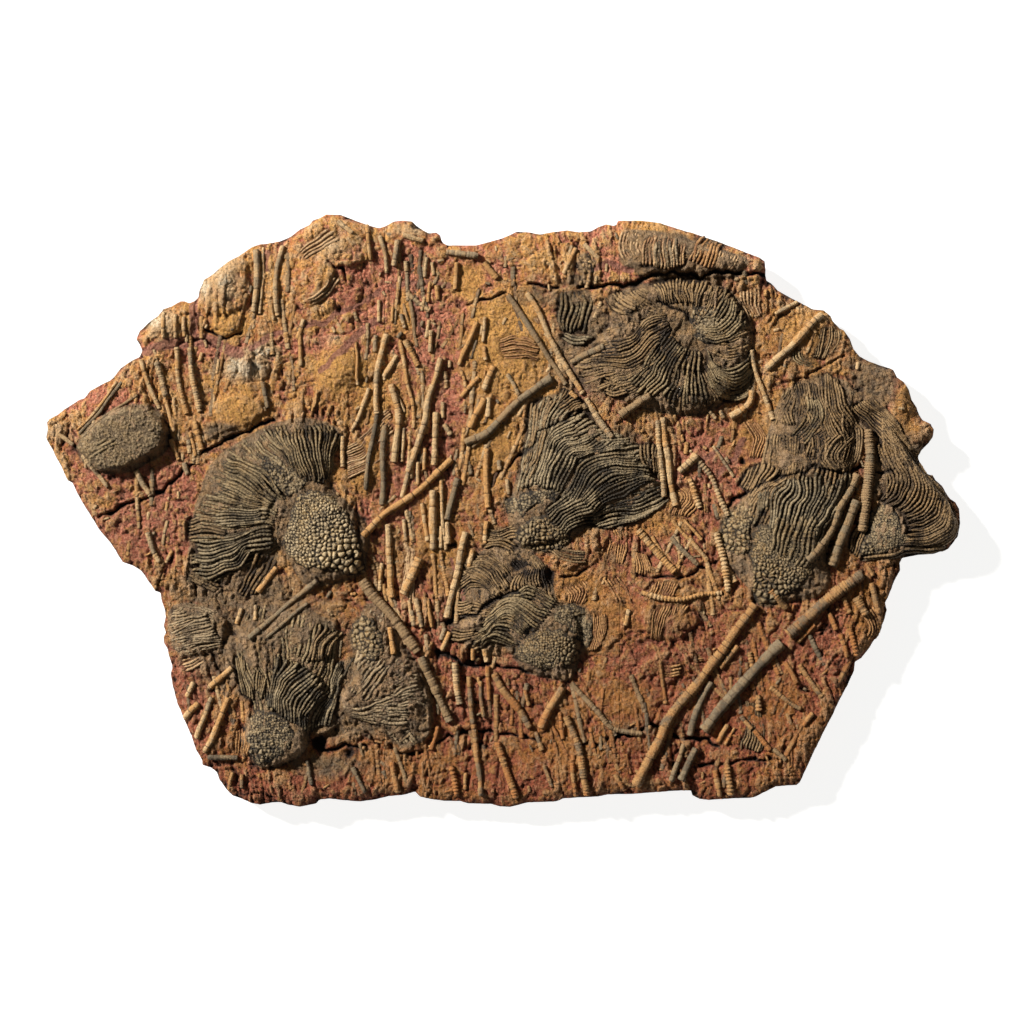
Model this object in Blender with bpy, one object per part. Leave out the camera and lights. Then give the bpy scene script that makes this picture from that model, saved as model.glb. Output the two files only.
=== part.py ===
"""Crinoid slab: a loose plate of rock with sea lilies lying in its upper face.

The slab lies on its flat back with the fossils up: +X runs along its length, +Z is up, and the
origin is under the middle of its box.  Places on it are read off a survey grid laid over the face,
with u running right and v running down, as a preparator maps a block.  One square of that grid is
SQUARE metres, so the whole piece scales from SLAB_LENGTH.

The rock is one solid.  Every head and every stem is its own solid, bedded in a seat cut in the rock
with a hair of clearance, and a stem that lies across a head has a seat cut in that head as well.
"""
import math

import bmesh
import bpy
from mathutils import Matrix, Vector, noise
from mathutils.bvhtree import BVHTree
from mathutils.geometry import intersect_point_line

# ---- driving dimensions -------------------------------------------------------------------------
SLAB_LENGTH = 1.005                          # left tip to right edge
GRID_LEFT, GRID_RIGHT = 45.0, 961.0          # survey lines at the slab's two ends
GRID_TOP, GRID_BOTTOM = 214.5, 807.5         # survey lines at its upper and lower edges
SQUARE = SLAB_LENGTH / (GRID_RIGHT - GRID_LEFT)

ROCK_DEPTH = 0.031                           # back to the mean level of the face
ROUGHNESS = 0.0022                           # height of the broad unevenness of the face
EDGE_FALL = 0.006                            # how far the face drops at the broken edge
EDGE_REACH = 14.0                            # squares over which it drops
CELL = 35.0                                  # squares between points of the modelled rock face
SEAT_FLOOR = 0.020                           # height of the floor under a bedded head
GAP = 0.0003                                 # clearance round every bedded piece
STEM_SIDES = 6
SEAT_SIDES = 4                               # a stem's seat is a square trough
STEM_PITCH = 38.0                            # squares between rings of a modelled stem
STEM_SHOW = 0.25                             # share of its radius by which a stem's axis clears the rock
HEAD_ROWS = 8                                # rows of points along a head
CUP_ROW = 1.6                                # row on which the cup stands highest
ARM_RELIEF = 0.0024                          # depth of the furrows between bunches of arms

# Levels up the broken edge: height as a share of the rock, and how far it stands in (squares).
EDGE_RINGS = ((0.0, 5.0), (0.6, 0.0), (1.9, 4.0))

# The slab's broken outline, clockwise from the left tip.
OUTLINE = (
    (45, 437), (49, 419), (64, 409), (89, 391), (115, 375), (132, 360), (142, 350), (136, 339),
    (143, 328), (163, 309), (180, 301), (198, 297), (204, 280), (220, 268), (251, 247), (279, 241),
    (313, 220), (326, 214.5), (340, 214.5), (379, 228), (394, 221), (412, 221), (429, 233),
    (447, 245), (476, 245), (509, 235), (540, 234), (591, 231), (618, 220.5), (642, 220.5),
    (679, 229), (720, 242), (765, 261), (766.5, 280), (789, 296), (813, 309), (831, 316),
    (850, 338), (860, 356), (894, 370), (909, 390), (917, 407), (934, 430), (922, 450), (920, 462),
    (933, 475), (948, 495), (960, 509), (961, 523), (959, 536), (949, 549), (900, 563), (901, 570),
    (885.5, 603), (884, 622), (855.5, 662), (849, 684), (815.5, 750), (800, 783), (776, 787),
    (750, 798.5), (709, 800.5), (691.5, 790.5), (630, 794.5), (577, 798), (510, 807.5), (468, 804),
    (434, 800), (415, 792), (375, 800), (319, 800), (300, 807), (281, 802.5), (252, 803.5),
    (226, 790), (211, 768), (195.5, 749), (177, 703.5), (170, 674), (163.5, 643), (165, 617),
    (160, 593), (141, 571), (118, 556), (98, 529), (72, 483), (56, 458))

# Swellings and hollows of the face: u, v, half length, half width, turn in degrees, height in mm.
LUMPS = (
    (225, 282, 36, 24, 80, 8), (328, 272, 56, 40, 75, 11), (166, 326, 26, 20, 30, 6),
    (248, 362, 26, 24, 0, 8), (240, 408, 28, 22, 20, 5), (122, 440, 46, 34, 15, 6),
    (340, 372, 27, 20, 80, 7), (525, 355, 26, 20, 60, 5), (365, 465, 36, 22, 75, 4),
    (255, 515, 80, 62, 20, 4), (290, 690, 70, 60, 80, 4), (385, 690, 70, 42, 60, 5),
    (590, 455, 70, 45, 20, 3), (655, 350, 100, 72, 0, 7), (800, 500, 95, 62, 70, 7),
    (525, 610, 62, 50, 30, 5), (915, 480, 60, 38, 70, 4), (690, 252, 78, 28, -10, 5),
    (900, 408, 38, 14, 75, 7), (922, 432, 14, 12, 0, 5), (628, 625, 34, 26, 60, 6),
    (672, 610, 40, 30, 80, 4), (645, 665, 40, 22, 10, 4), (618, 712, 44, 22, -20, 4),
    (470, 275, 50, 24, 0, -4), (450, 400, 60, 34, 80, -4), (470, 500, 40, 50, 0, -3),
    (740, 450, 36, 46, 0, -4), (700, 700, 60, 60, 0, -3), (480, 745, 70, 40, 0, -3),
    (395, 560, 34, 40, 0, -4), (590, 760, 60, 32, 0, 2), (850, 640, 34, 30, 50, 3),
    (205, 725, 26, 40, -20, 3), (140, 540, 40, 34, 30, 2), (800, 345, 44, 30, 30, 3))

# Open cracks that run across bare rock: points along each, then its width and depth in mm.
CRACKS = (
    ("crack_upper", ((505, 286), (540, 286), (600, 286), (640, 280)), 3.0, 7.0),
    ("crack_west", ((98, 516), (130, 503), (160, 494), (176, 480)), 2.5, 6.0),
    ("crack_south", ((612, 739), (640, 733), (666, 733), (690, 741), (720, 748)), 3.0, 7.0),
    ("crack_middle", ((440, 655), (470, 665), (500, 667), (528, 671)), 2.5, 6.0))

# The heads.  joint: where the cup meets its stem, and the stem's width there.  cheeks: the widest
# places of the cup on the side of the first and of the last arm.  cup and arms: heights in mm over
# the rock.  arms: the run of each marked arm from the cup to its tip, in order across the fan.
HEADS = {
    "crown_west": {
        "joint": (357, 573, 12), "cheeks": ((366, 528), (306, 582)), "cup": 15, "rise": 8,
        "arms": (
            ((332, 484), (333, 460), (338, 445), (343, 430)),
            ((318, 480), (320, 455), (318, 435), (313, 420)),
            ((306, 484), (296, 462), (286, 442), (274, 427)),
            ((294, 492), (275, 474), (256, 458), (238, 444)),
            ((286, 504), (262, 490), (238, 478), (212, 468)),
            ((280, 515), (255, 508), (228, 502), (197, 495)),
            ((277, 526), (252, 525), (226, 528), (192, 528)),
            ((279, 536), (256, 542), (228, 552), (190, 558)),
            ((284, 548), (262, 562), (236, 576), (186, 588)))},
    "crown_southwest": {
        "joint": (266, 766, 14), "cheeks": ((242, 740), (302, 752)), "cup": 19, "rise": 8,
        "arms": (
            ((256, 712), (249, 690), (242, 665), (236, 632), (240, 607)),
            ((270, 712), (267, 690), (260, 660), (257, 628), (263, 604)),
            ((286, 716), (285, 695), (284, 665), (285, 632), (290, 606)),
            ((298, 722), (302, 705), (306, 670), (311, 638), (315, 612)),
            ((310, 728), (318, 712), (328, 688), (336, 655), (338, 622)))},
    "crown_south_mass": {
        "joint": (343, 703, 16), "cheeks": ((346, 690), (350, 716)), "cup": 7, "rise": 11,
        "arms": (
            ((353, 680), (357, 655), (360, 625), (363, 603)),
            ((360, 682), (370, 655), (378, 628), (385, 606)),
            ((365, 690), (382, 670), (396, 652), (404, 646)),
            ((368, 698), (390, 684), (408, 672), (422, 672)),
            ((368, 705), (392, 700), (414, 698), (432, 704)),
            ((366, 712), (388, 716), (410, 724), (428, 736)),
            ((362, 718), (378, 728), (392, 738), (402, 752)))},
    "crown_west_fan": {
        "joint": (227, 626, 12), "cheeks": ((223, 616), (225, 638)), "cup": 3, "rise": 5,
        "arms": (
            ((218, 610), (200, 606), (184, 604), (170, 607)),
            ((216, 620), (200, 617), (184, 616), (168, 618)),
            ((216, 632), (200, 632), (186, 636), (171, 640)),
            ((222, 646), (208, 650), (196, 654), (180, 658)))},
    "crown_centre": {
        "joint": (520, 544, 10), "cheeks": ((510, 518), (568, 538)), "cup": 7, "rise": 9,
        "arms": (
            ((514, 494), (518, 470), (524, 440), (530, 408)),
            ((528, 486), (536, 458), (546, 428), (558, 396)),
            ((543, 488), (556, 460), (574, 432), (600, 424)),
            ((556, 494), (572, 466), (600, 446), (640, 444)),
            ((568, 504), (590, 480), (622, 464), (654, 460)),
            ((578, 514), (604, 492), (634, 480), (660, 478)),
            ((588, 524), (614, 514), (640, 508), (664, 500)))},
    "crown_whorl": {
        "hub": (684, 334, 16), "cup": 7, "rise": 9,
        "arms": (
            ((688, 300), (686, 284)), ((710, 306), (720, 287)), ((722, 324), (745, 307)),
            ((724, 346), (752, 342)), ((720, 372), (742, 384)), ((700, 392), (712, 410)),
            ((676, 394), (672, 416)), ((648, 390), (638, 402)), ((622, 372), (590, 390)),
            ((614, 346), (564, 352)), ((610, 322), (558, 318)), ((624, 300), (564, 290)),
            ((654, 298), (630, 287)))},
    "crown_east": {
        "joint": (768, 600, 14), "cheeks": ((728, 560), (826, 590)), "cup": 13, "rise": 9,
        "arms": (
            ((730, 524), (742, 500), (752, 486), (762, 466), (768, 440), (776, 410), (786, 388)),
            ((756, 524), (764, 500), (776, 482), (786, 462), (786, 436), (792, 410), (800, 384)),
            ((784, 532), (792, 506), (800, 484), (806, 462), (806, 436), (810, 408), (816, 382)),
            ((806, 540), (816, 512), (822, 486), (826, 460), (828, 436), (830, 408), (834, 378)),
            ((826, 550), (840, 520), (846, 494), (850, 470), (852, 440), (852, 410), (852, 380)))},
    "crown_south": {
        "joint": (570, 678, 8), "cheeks": ((580, 628), (524, 668)), "cup": 14, "rise": 8,
        "arms": (
            ((556, 600), (552, 582), (546, 566), (534, 552)),
            ((540, 602), (526, 582), (514, 564), (500, 548)),
            ((530, 608), (508, 592), (486, 574), (466, 560)),
            ((524, 616), (502, 604), (482, 594), (462, 588)),
            ((520, 624), (498, 616), (478, 620), (460, 616)),
            ((518, 634), (500, 628), (484, 634), (464, 640)),
            ((516, 644), (502, 642), (490, 650), (478, 657)))},
    "crown_far_east": {
        "joint": (858, 552, 10), "cheeks": ((880, 512), (900, 556)), "cup": 6, "rise": 7,
        "arms": (
            ((884, 500), (883, 480), (882, 458), (880, 436), (878, 415)),
            ((895, 500), (898, 480), (896, 460), (891, 440), (885, 422)),
            ((906, 506), (913, 490), (910, 470), (902, 450), (893, 433)),
            ((915, 514), (927, 500), (924, 484), (915, 468), (903, 452)),
            ((920, 524), (938, 514), (939, 500), (931, 486), (919, 474)),
            ((920, 536), (942, 532), (952, 520), (948, 506), (936, 491)),
            ((914, 548), (936, 547), (950, 540), (957, 528), (953, 512)))},
    "crown_tip": {
        "joint": (168, 436, 16), "cheeks": ((160, 418), (160, 454)), "cup": 8, "rise": 13,
        "arms": (
            ((146, 410), (132, 408), (118, 408)), ((138, 422), (116, 420), (96, 424)),
            ((134, 438), (108, 438), (80, 445)), ((138, 452), (116, 458), (90, 464)),
            ((148, 460), (132, 470), (108, 474)))},
    "crown_north": {
        "joint": (688, 276, 120), "cheeks": ((640, 270), (740, 273)), "cup": 3, "rise": 6,
        "arms": (
            ((622, 264), (619, 246), (621, 230)), ((650, 262), (650, 248), (652, 232)),
            ((676, 262), (680, 250), (684, 240)), ((706, 266), (712, 258), (718, 250)),
            ((738, 270), (746, 266), (750, 260)))},
}

# The stems: the run of each, then its width in squares.  Where one passes under another it is two.
STEMS = {
    "stem_crown_west": (((362, 580), (376, 598), (391, 615), (405, 634), (418, 652)), 10.5),
    "stem_crown_west_tail": (((430, 676), (438, 693), (450, 722)), 9),
    "stem_long_left": (((508, 295), (523, 317), (536, 337), (548, 356), (557, 371), (566, 385)), 6),
    "stem_long_right": (((527, 293), (539, 313), (549, 336), (560, 357), (572, 376), (583, 394)), 6),
    "stem_diagonal_north": (((552, 378), (534, 390), (520, 400), (500, 420), (486, 434), (465, 443)), 9),
    "stem_upright_b": (((487, 448), (486, 480), (488, 508)), 7),
    "stem_diagonal_middle": (((452, 459), (433, 477), (413, 495), (385, 514), (363, 536)), 8),
    "stem_upright_c": (((436, 412), (435, 440), (434, 465)), 7.5),
    "stem_upright_d": (((433, 490), (433, 511), (433, 550)), 8),
    "stem_slant_a": (((441, 358), (436, 375), (429, 397), (424, 423), (416, 449), (408, 472)), 7),
    "stem_slant_b": (((387, 334), (382, 352), (378, 372), (377, 398), (377, 414)), 7),
    "stem_west_a": (((157, 362), (162, 378), (166, 396)), 7),
    "stem_west_b": (((190, 347), (191, 368), (195, 390), (200, 412)), 7),
    "stem_west_c": (((148, 532), (153, 550), (160, 562)), 6),
    "stem_boulder": (((256, 250), (257, 280), (254, 312)), 7),
    "stem_north_a": (((283, 246), (278, 266), (276, 290), (278, 316)), 6),
    "stem_north_b": (((398, 240), (394, 266)), 7),
    "stem_north_c": (((380, 236), (385, 256), (387, 273)), 5),
    "stem_north_d": (((446, 252), (478, 256)), 7),
    "stem_north_e": (((576, 248), (564, 274)), 6),
    "stem_north_f": (((484, 262), (497, 278)), 7),
    "stem_ridge": (((571, 363), (590, 354), (604, 347)), 8),
    "stem_log_a": (((620, 416), (635, 405), (650, 396)), 9),
    "stem_log_b": (((697, 455), (679, 472)), 9),
    "stem_north_east": (((822, 315), (809, 327), (790, 348), (766, 369)), 8),
    "stem_cross_east": (((751, 350), (756, 372), (764, 392), (773, 420)), 6),
    "stem_elbow": (((752, 390), (750, 402), (742, 410), (730, 417)), 8),
    "stem_inner_a": (((698, 460), (709, 474), (718, 494), (728, 516)), 6),
    "stem_inner_b": (((638, 530), (655, 549), (675, 572)), 7),
    "stem_inner_d": (((716, 532), (724, 560), (728, 592)), 8),
    "stem_main_east": (((755, 604), (745, 619), (727, 645), (712, 664), (698, 684), (682, 702),
                        (668, 722), (660, 740), (647, 765), (636, 785)), 9),
    "stem_main_east_a": (((862, 574), (838, 591), (820, 606), (802, 623), (788, 635)), 10),
    "stem_main_east_b": (((782, 643), (767, 658), (748, 678), (722, 708), (704, 731)), 9),
    "stem_edge_a": (((856, 597), (866, 615)), 9),
    "stem_fork_left": (((494, 673), (503, 690), (516, 706), (530, 728)), 8),
    "stem_fork_right": (((563, 687), (550, 709), (541, 728)), 9),
    "stem_south_a": (((566, 716), (572, 732), (579, 748), (583, 768), (587, 795)), 8),
    "stem_south_b": (((497, 742), (505, 765), (512, 785), (516, 798)), 8),
    "stem_south_c": (((455, 662), (457, 685), (460, 704)), 8),
    "stem_south_d": (((469, 676), (471, 700), (473, 722), (478, 760), (481, 795)), 6),
    "stem_south_e": (((696, 748), (681, 780)), 8),
    "stem_middle_a": (((466, 532), (461, 552), (456, 580), (450, 603), (447, 618)), 7.5),
    "stem_middle_b": (((420, 558), (411, 579), (404, 594)), 9),
    "stem_on_east_a": (((857, 474), (848, 492), (836, 512)), 8),
    "stem_on_east_b": (((856, 500), (848, 520), (839, 543), (831, 566)), 9),
    "stem_on_east_c": (((868, 429), (870, 450), (869, 470), (866, 490), (864, 512), (862, 531)), 8),
}

PALETTE = {
    "rock": (0.33, 0.15, 0.07), "head": (0.25, 0.19, 0.12), "stem": (0.42, 0.27, 0.13)}
ROUGH = 0.85


# ---- places and heights -------------------------------------------------------------------------
def spot(u, v):
    """A survey place in metres, with the middle of the slab's box at zero."""
    return Vector(((u - (GRID_LEFT + GRID_RIGHT) / 2) * SQUARE, ((GRID_TOP + GRID_BOTTOM) / 2 - v) * SQUARE))


def edge_distance(place):
    """How far a place in metres lies from the slab's broken outline."""
    corners = [spot(u, v) for u, v in OUTLINE]
    nearest = float("inf")
    for start, end in zip(corners, corners[1:] + corners[:1]):
        foot, along = intersect_point_line(place, start, end)
        foot = start if along < 0 else end if along > 1 else foot
        nearest = min(nearest, (place - foot.to_2d()).length)
    return nearest


def rock_height(place):
    """Height of the rock face at a place in metres."""
    height = ROCK_DEPTH
    for u, v, half_length, half_width, turn, millimetres in LUMPS:
        away = (place - spot(u, v)) / SQUARE
        along = Vector((math.cos(math.radians(turn)), math.sin(math.radians(turn))))
        across = Vector((-along.y, along.x))
        reach = (away.dot(along) / half_length) ** 2 + (away.dot(across) / half_width) ** 2
        height += millimetres / 1000 * math.exp(-reach * 1.2)
    height += ROUGHNESS * noise.fractal((place.x * 22, place.y * 22, 4.0), 1.0, 2.0, 3)
    near_edge = max(0.0, 1 - edge_distance(place) / (EDGE_REACH * SQUARE))
    return height - EDGE_FALL * near_edge ** 2


def smooth_run(points, count):
    """count places on a smooth curve through the given ones, ends included."""
    knots = [2 * points[0] - points[1]] + list(points) + [2 * points[-1] - points[-2]]
    places = []
    for index in range(count):
        along = index / (count - 1) * (len(points) - 1)
        span = min(int(along), len(points) - 2)
        t = along - span
        a, b, c, d = knots[span:span + 4]
        places.append(0.5 * (2 * b + (c - a) * t + (2 * a - 5 * b + 4 * c - d) * t * t
                             + (3 * b - a - 3 * c + d) * t ** 3))
    return places


# ---- making objects -----------------------------------------------------------------------------
def finish(name, shape, collection=None):
    """A closed bmesh as a named object; its faces are turned outwards first."""
    bmesh.ops.remove_doubles(shape, verts=shape.verts, dist=0.00001)
    bmesh.ops.recalc_face_normals(shape, faces=shape.faces)
    mesh = bpy.data.meshes.new(name)
    shape.to_mesh(mesh)
    shape.free()
    thing = bpy.data.objects.new(name, mesh)
    (collection or bpy.context.scene.collection).objects.link(thing)
    return thing


def paint(thing, finish_name):
    """Gives a piece its own plain material."""
    material = bpy.data.materials.new(thing.name)
    material.use_nodes = True
    shader = material.node_tree.nodes["Principled BSDF"]
    shader.inputs["Base Color"].default_value = (*PALETTE[finish_name], 1.0)
    shader.inputs["Roughness"].default_value = ROUGH
    thing.data.materials.append(material)


def make_cutter(thing):
    """Marks an object as one that only cuts."""
    thing.hide_render = True
    thing.display_type = "WIRE"


def cut_by(thing, collection):
    """Takes every cutter of a collection out of a piece."""
    cut = thing.modifiers.new("seats", "BOOLEAN")
    cut.operation = "DIFFERENCE"
    cut.solver = "EXACT"
    cut.operand_type = "COLLECTION"
    cut.collection = collection


def prism(name, rings, collection=None):
    """A closed solid through rings of points of equal number, lowest ring first."""
    shape = bmesh.new()
    loops = [[shape.verts.new(point) for point in ring] for ring in rings]
    shape.faces.new(loops[0])
    shape.faces.new(loops[-1])
    for low, high in zip(loops, loops[1:]):
        for index in range(len(low)):
            after = (index + 1) % len(low)
            shape.faces.new((low[index], low[after], high[after], high[index]))
    return finish(name, shape, collection)


def moved_in(ring, distance):
    """A closed ring of 2-D points moved inwards by a distance, or outwards if it is negative."""
    area = sum(a.x * b.y - b.x * a.y for a, b in zip(ring, ring[1:] + ring[:1]))
    side = 1 if area > 0 else -1
    moved = []
    for before, here, after in zip(ring[-1:] + ring[:-1], ring, ring[1:] + ring[:1]):
        first, second = (here - before).normalized(), (after - here).normalized()
        inward = Vector((-first.y - second.y, first.x + second.x)) * side
        inward = inward.normalized() if inward.length > 1e-6 else Vector((-first.y, first.x)) * side
        slope = max(0.5, inward.dot(Vector((-first.y, first.x)) * side))
        moved.append(here + inward * distance / slope)
    return moved


# ---- the rock -----------------------------------------------------------------------------------
def rock_slab():
    """The rock: a block with the relief of the face on top, trimmed to the broken outline."""
    width = (GRID_RIGHT - GRID_LEFT) + CELL
    height = (GRID_BOTTOM - GRID_TOP) + CELL
    shape = bmesh.new()
    bmesh.ops.create_grid(shape, x_segments=round(width / CELL), y_segments=round(height / CELL), size=0.5)
    for vertex in shape.verts:
        place = Vector((vertex.co.x * width, vertex.co.y * height)) * SQUARE
        vertex.co = (*place, rock_height(place))
    top = list(shape.faces)
    raised = bmesh.ops.extrude_face_region(shape, geom=top, use_keep_orig=True)["geom"]
    floor = [item for item in raised if isinstance(item, bmesh.types.BMVert)]
    for vertex in floor:
        vertex.co.z = 0.0
    bmesh.ops.dissolve_faces(shape, faces=[item for item in raised if isinstance(item, bmesh.types.BMFace)])
    slab = finish("matrix_slab", shape)

    corners = [spot(u, v) for u, v in OUTLINE]
    rings = []
    for share, inset in EDGE_RINGS:
        level = max(share * ROCK_DEPTH, -GAP)
        rings.append([(*corner, level) for corner in moved_in(corners, inset * SQUARE)])
    rings[0] = [(x, y, -ROCK_DEPTH) for x, y, _ in rings[0]]
    trim = prism("trim_outline", rings)
    make_cutter(trim)
    keep = slab.modifiers.new("outline", "BOOLEAN")
    keep.operation = "INTERSECT"
    keep.solver = "EXACT"
    keep.object = trim
    paint(slab, "rock")
    return slab


def cut_cracks(collection):
    """Wedges that open the cracks."""
    for name, run, width, depth in CRACKS:
        places = [spot(u, v) for u, v in run]
        shape = bmesh.new()
        profiles = []
        for index, here in enumerate(places):
            ahead = places[min(index + 1, len(places) - 1)] - places[max(index - 1, 0)]
            side = Vector((-ahead.y, ahead.x)).normalized() * width / 2000
            taper = 0.35 if index in (0, len(places) - 1) else 1.0
            level = rock_height(here)
            profiles.append([shape.verts.new(point) for point in (
                (*(here + side * taper * 3), level + 0.012), (*(here - side * taper * 3), level + 0.012),
                (*here, level - depth / 1000 * taper))])
        shape.faces.new(profiles[0])
        shape.faces.new(profiles[-1])
        for first, second in zip(profiles, profiles[1:]):
            for corner in range(3):
                after = (corner + 1) % 3
                shape.faces.new((first[corner], first[after], second[after], second[corner]))
        make_cutter(finish(name, shape, collection))


# ---- the heads ----------------------------------------------------------------------------------
def fan_runs(head):
    """Runs from the stem end of the cup to the arm tips, one for each marked arm."""
    u, v, width = head["joint"]
    first, last = (Vector(cheek) for cheek in head["cheeks"])
    across = (last - first).normalized()
    runs = []
    for index, arm in enumerate(head["arms"]):
        share = index / (len(head["arms"]) - 1)
        start = Vector((u, v)) + across * width * (share - 0.5)
        runs.append([start, first.lerp(last, share)] + [Vector(point) for point in arm])
    return runs


def hub_runs(head):
    """Runs from a ring round the hub out to the rim, all the way round."""
    u, v, radius = head["hub"]
    hub = Vector((u, v))
    runs = []
    for arm in head["arms"]:
        points = [Vector(point) for point in arm]
        start = hub + (points[0] - hub).normalized() * radius
        runs.append([start, start.lerp(points[0], 0.6)] + points)
    return runs


def head_solid(name, head):
    """One head: a shell of arms in coarse ridges behind its cup, standing in a flat-floored seat."""
    closed = "hub" in head
    runs = hub_runs(head) if closed else fan_runs(head)
    rows = [smooth_run(run, HEAD_ROWS) for run in runs]
    lines = []
    for index, row in enumerate(rows):
        lines.append((row, True))
        following = rows[(index + 1) % len(rows)]
        if closed or index + 1 < len(rows):
            lines.append(([a.lerp(b, 0.5) for a, b in zip(row, following)], False))
    shape = bmesh.new()
    columns = []
    for number, (line, crest) in enumerate(lines):
        across = number / (len(lines) - 1)
        column = []
        for step, place in enumerate(line):
            share = step / (HEAD_ROWS - 1)
            middle = 1.0 if closed else 1 - abs(2 * across - 1) ** 4
            tip = 1 - max(0.0, (share - 0.7) / 0.3) ** 2
            if closed:
                cup = head["cup"] * math.exp(-(step / 1.2) ** 2)
            else:
                cup = head["cup"] * math.exp(-((step - CUP_ROW) / 1.3) ** 2) * (1 - (2 * across - 1) ** 2) ** 0.6
            rise = max(cup, head["rise"] * min(1.0, 0.35 + share * 2) * tip * middle)
            if step == 0 and not closed:
                rise = min(rise, 0.35 * head["cup"])
            height = rock_height(spot(*place)) + 0.0012 + rise / 1000
            if not crest and 2 < step < HEAD_ROWS - 1:
                height -= ARM_RELIEF
            column.append(shape.verts.new((*spot(*place), height)))
        columns.append(column)
    pairs = list(zip(columns, columns[1:])) + ([(columns[-1], columns[0])] if closed else [])
    for left, right in pairs:
        for step in range(HEAD_ROWS - 1):
            shape.faces.new((left[step], right[step], right[step + 1], left[step + 1]))
    if closed:
        shape.faces.new([column[0] for column in columns])
        rim = [column[-1] for column in columns]
    else:
        rim = ([column[0] for column in columns] + columns[-1][1:]
               + [column[-1] for column in reversed(columns[:-1])] + list(reversed(columns[0][1:-1])))
    ring = [vertex.co.to_2d() for vertex in rim]
    floor = [shape.verts.new((*place, SEAT_FLOOR)) for place in ring]
    for index in range(len(rim)):
        after = (index + 1) % len(rim)
        shape.faces.new((rim[index], rim[after], floor[after], floor[index]))
    shape.faces.new(floor)
    solid = finish(name, shape)
    paint(solid, "head")
    outer = moved_in(ring, -GAP)
    seat = prism("seat_" + name, [[(*place, level) for place in outer] for level in (SEAT_FLOOR - GAP, 0.09)])
    make_cutter(seat)
    return solid, seat


# ---- the stems ----------------------------------------------------------------------------------
def tube(name, places, radius, sides, collection=None):
    """A closed tube through places, with its rings square to its run and a flat side down."""
    rings = []
    for index, here in enumerate(places):
        ahead = places[min(index + 1, len(places) - 1)] - places[max(index - 1, 0)]
        flat = Vector((ahead.x, ahead.y, 0)).normalized()
        turn = Matrix((flat, Vector((-flat.y, flat.x, 0)), Vector((0, 0, 1)))).transposed()
        ring = []
        for side in range(sides):
            angle = math.tau * (side + 0.5) / sides
            ring.append(here + turn @ Vector((0, radius * math.cos(angle), radius * math.sin(angle))))
        rings.append(ring)
    return prism(name, rings, collection)


def face_height(place, head_tops):
    """Height of the rock, or of the head that lies over it."""
    height = rock_height(place)
    for top in head_tops:
        hit = top.ray_cast(Vector((*place, 0.2)), Vector((0, 0, -1)))
        if hit[0] is not None:
            height = max(height, hit[0].z)
    return height


def stem_places(run, width, head_tops):
    """Places along a stem's axis: it is stiff, so it follows only the broad rise of what it lies on."""
    points = [spot(u, v) for u, v in run]
    length = sum((b - a).length for a, b in zip(points, points[1:]))
    count = max(2, round(length / (STEM_PITCH * SQUARE)) + 1)
    flat = smooth_run(points, count)
    heights = [face_height(place, head_tops) for place in flat]
    eased = [(heights[max(i - 1, 0)] + heights[i] + heights[min(i + 1, count - 1)]) / 3 for i in range(count)]
    show = STEM_SHOW * width * SQUARE / 2
    return [Vector((*place, height + show)) for place, height in zip(flat, eased)]


def stem_solid(name, run, width, head_tops, seats):
    """One stem and the cutter of its seat."""
    places = stem_places(run, width, head_tops)
    radius = width * SQUARE / 2
    solid = tube(name, places, radius, STEM_SIDES)
    paint(solid, "stem")
    longer = list(places)
    longer[0] = places[0] + (places[0] - places[1]).normalized() * GAP
    longer[-1] = places[-1] + (places[-1] - places[-2]).normalized() * GAP
    make_cutter(tube("seat_" + name, longer, (radius + GAP) / math.cos(math.pi / SEAT_SIDES), SEAT_SIDES, seats))
    return solid


# ---- the slab -----------------------------------------------------------------------------------
def build():
    """Clears the scene and makes every piece."""
    for thing in list(bpy.data.objects):
        bpy.data.objects.remove(thing, do_unlink=True)
    root = bpy.context.scene.collection
    stem_seats = bpy.data.collections.new("stem_seats")
    head_seats = bpy.data.collections.new("head_seats")
    cracks = bpy.data.collections.new("cracks")
    for group in (stem_seats, head_seats, cracks):
        root.children.link(group)

    slab = rock_slab()
    heads = []
    tops = []
    for name, head in HEADS.items():
        solid, seat = head_solid(name, head)
        root.objects.unlink(seat)
        head_seats.objects.link(seat)
        shape = bmesh.new()
        shape.from_mesh(solid.data)
        tops.append(BVHTree.FromBMesh(shape))
        shape.free()
        heads.append(solid)
    for name, (run, width) in STEMS.items():
        stem_solid(name, run, width, tops, stem_seats)
    cut_cracks(cracks)
    for solid in heads:
        cut_by(solid, stem_seats)
    for group in (head_seats, stem_seats, cracks):
        cut_by(slab, group)


build()
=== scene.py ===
"""Looks of the crinoid slab: a loose plate of red and ochre rock with sea lilies in its upper face.

Every piece is placed on the survey grid that the model was drawn on, with u running right and v
running down; one square is SQUARE metres.  Two fields laid over that grid carry all the heights:
rock, the level of the bare face, and body, how far the heads stand over it.
"""
import math

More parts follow.
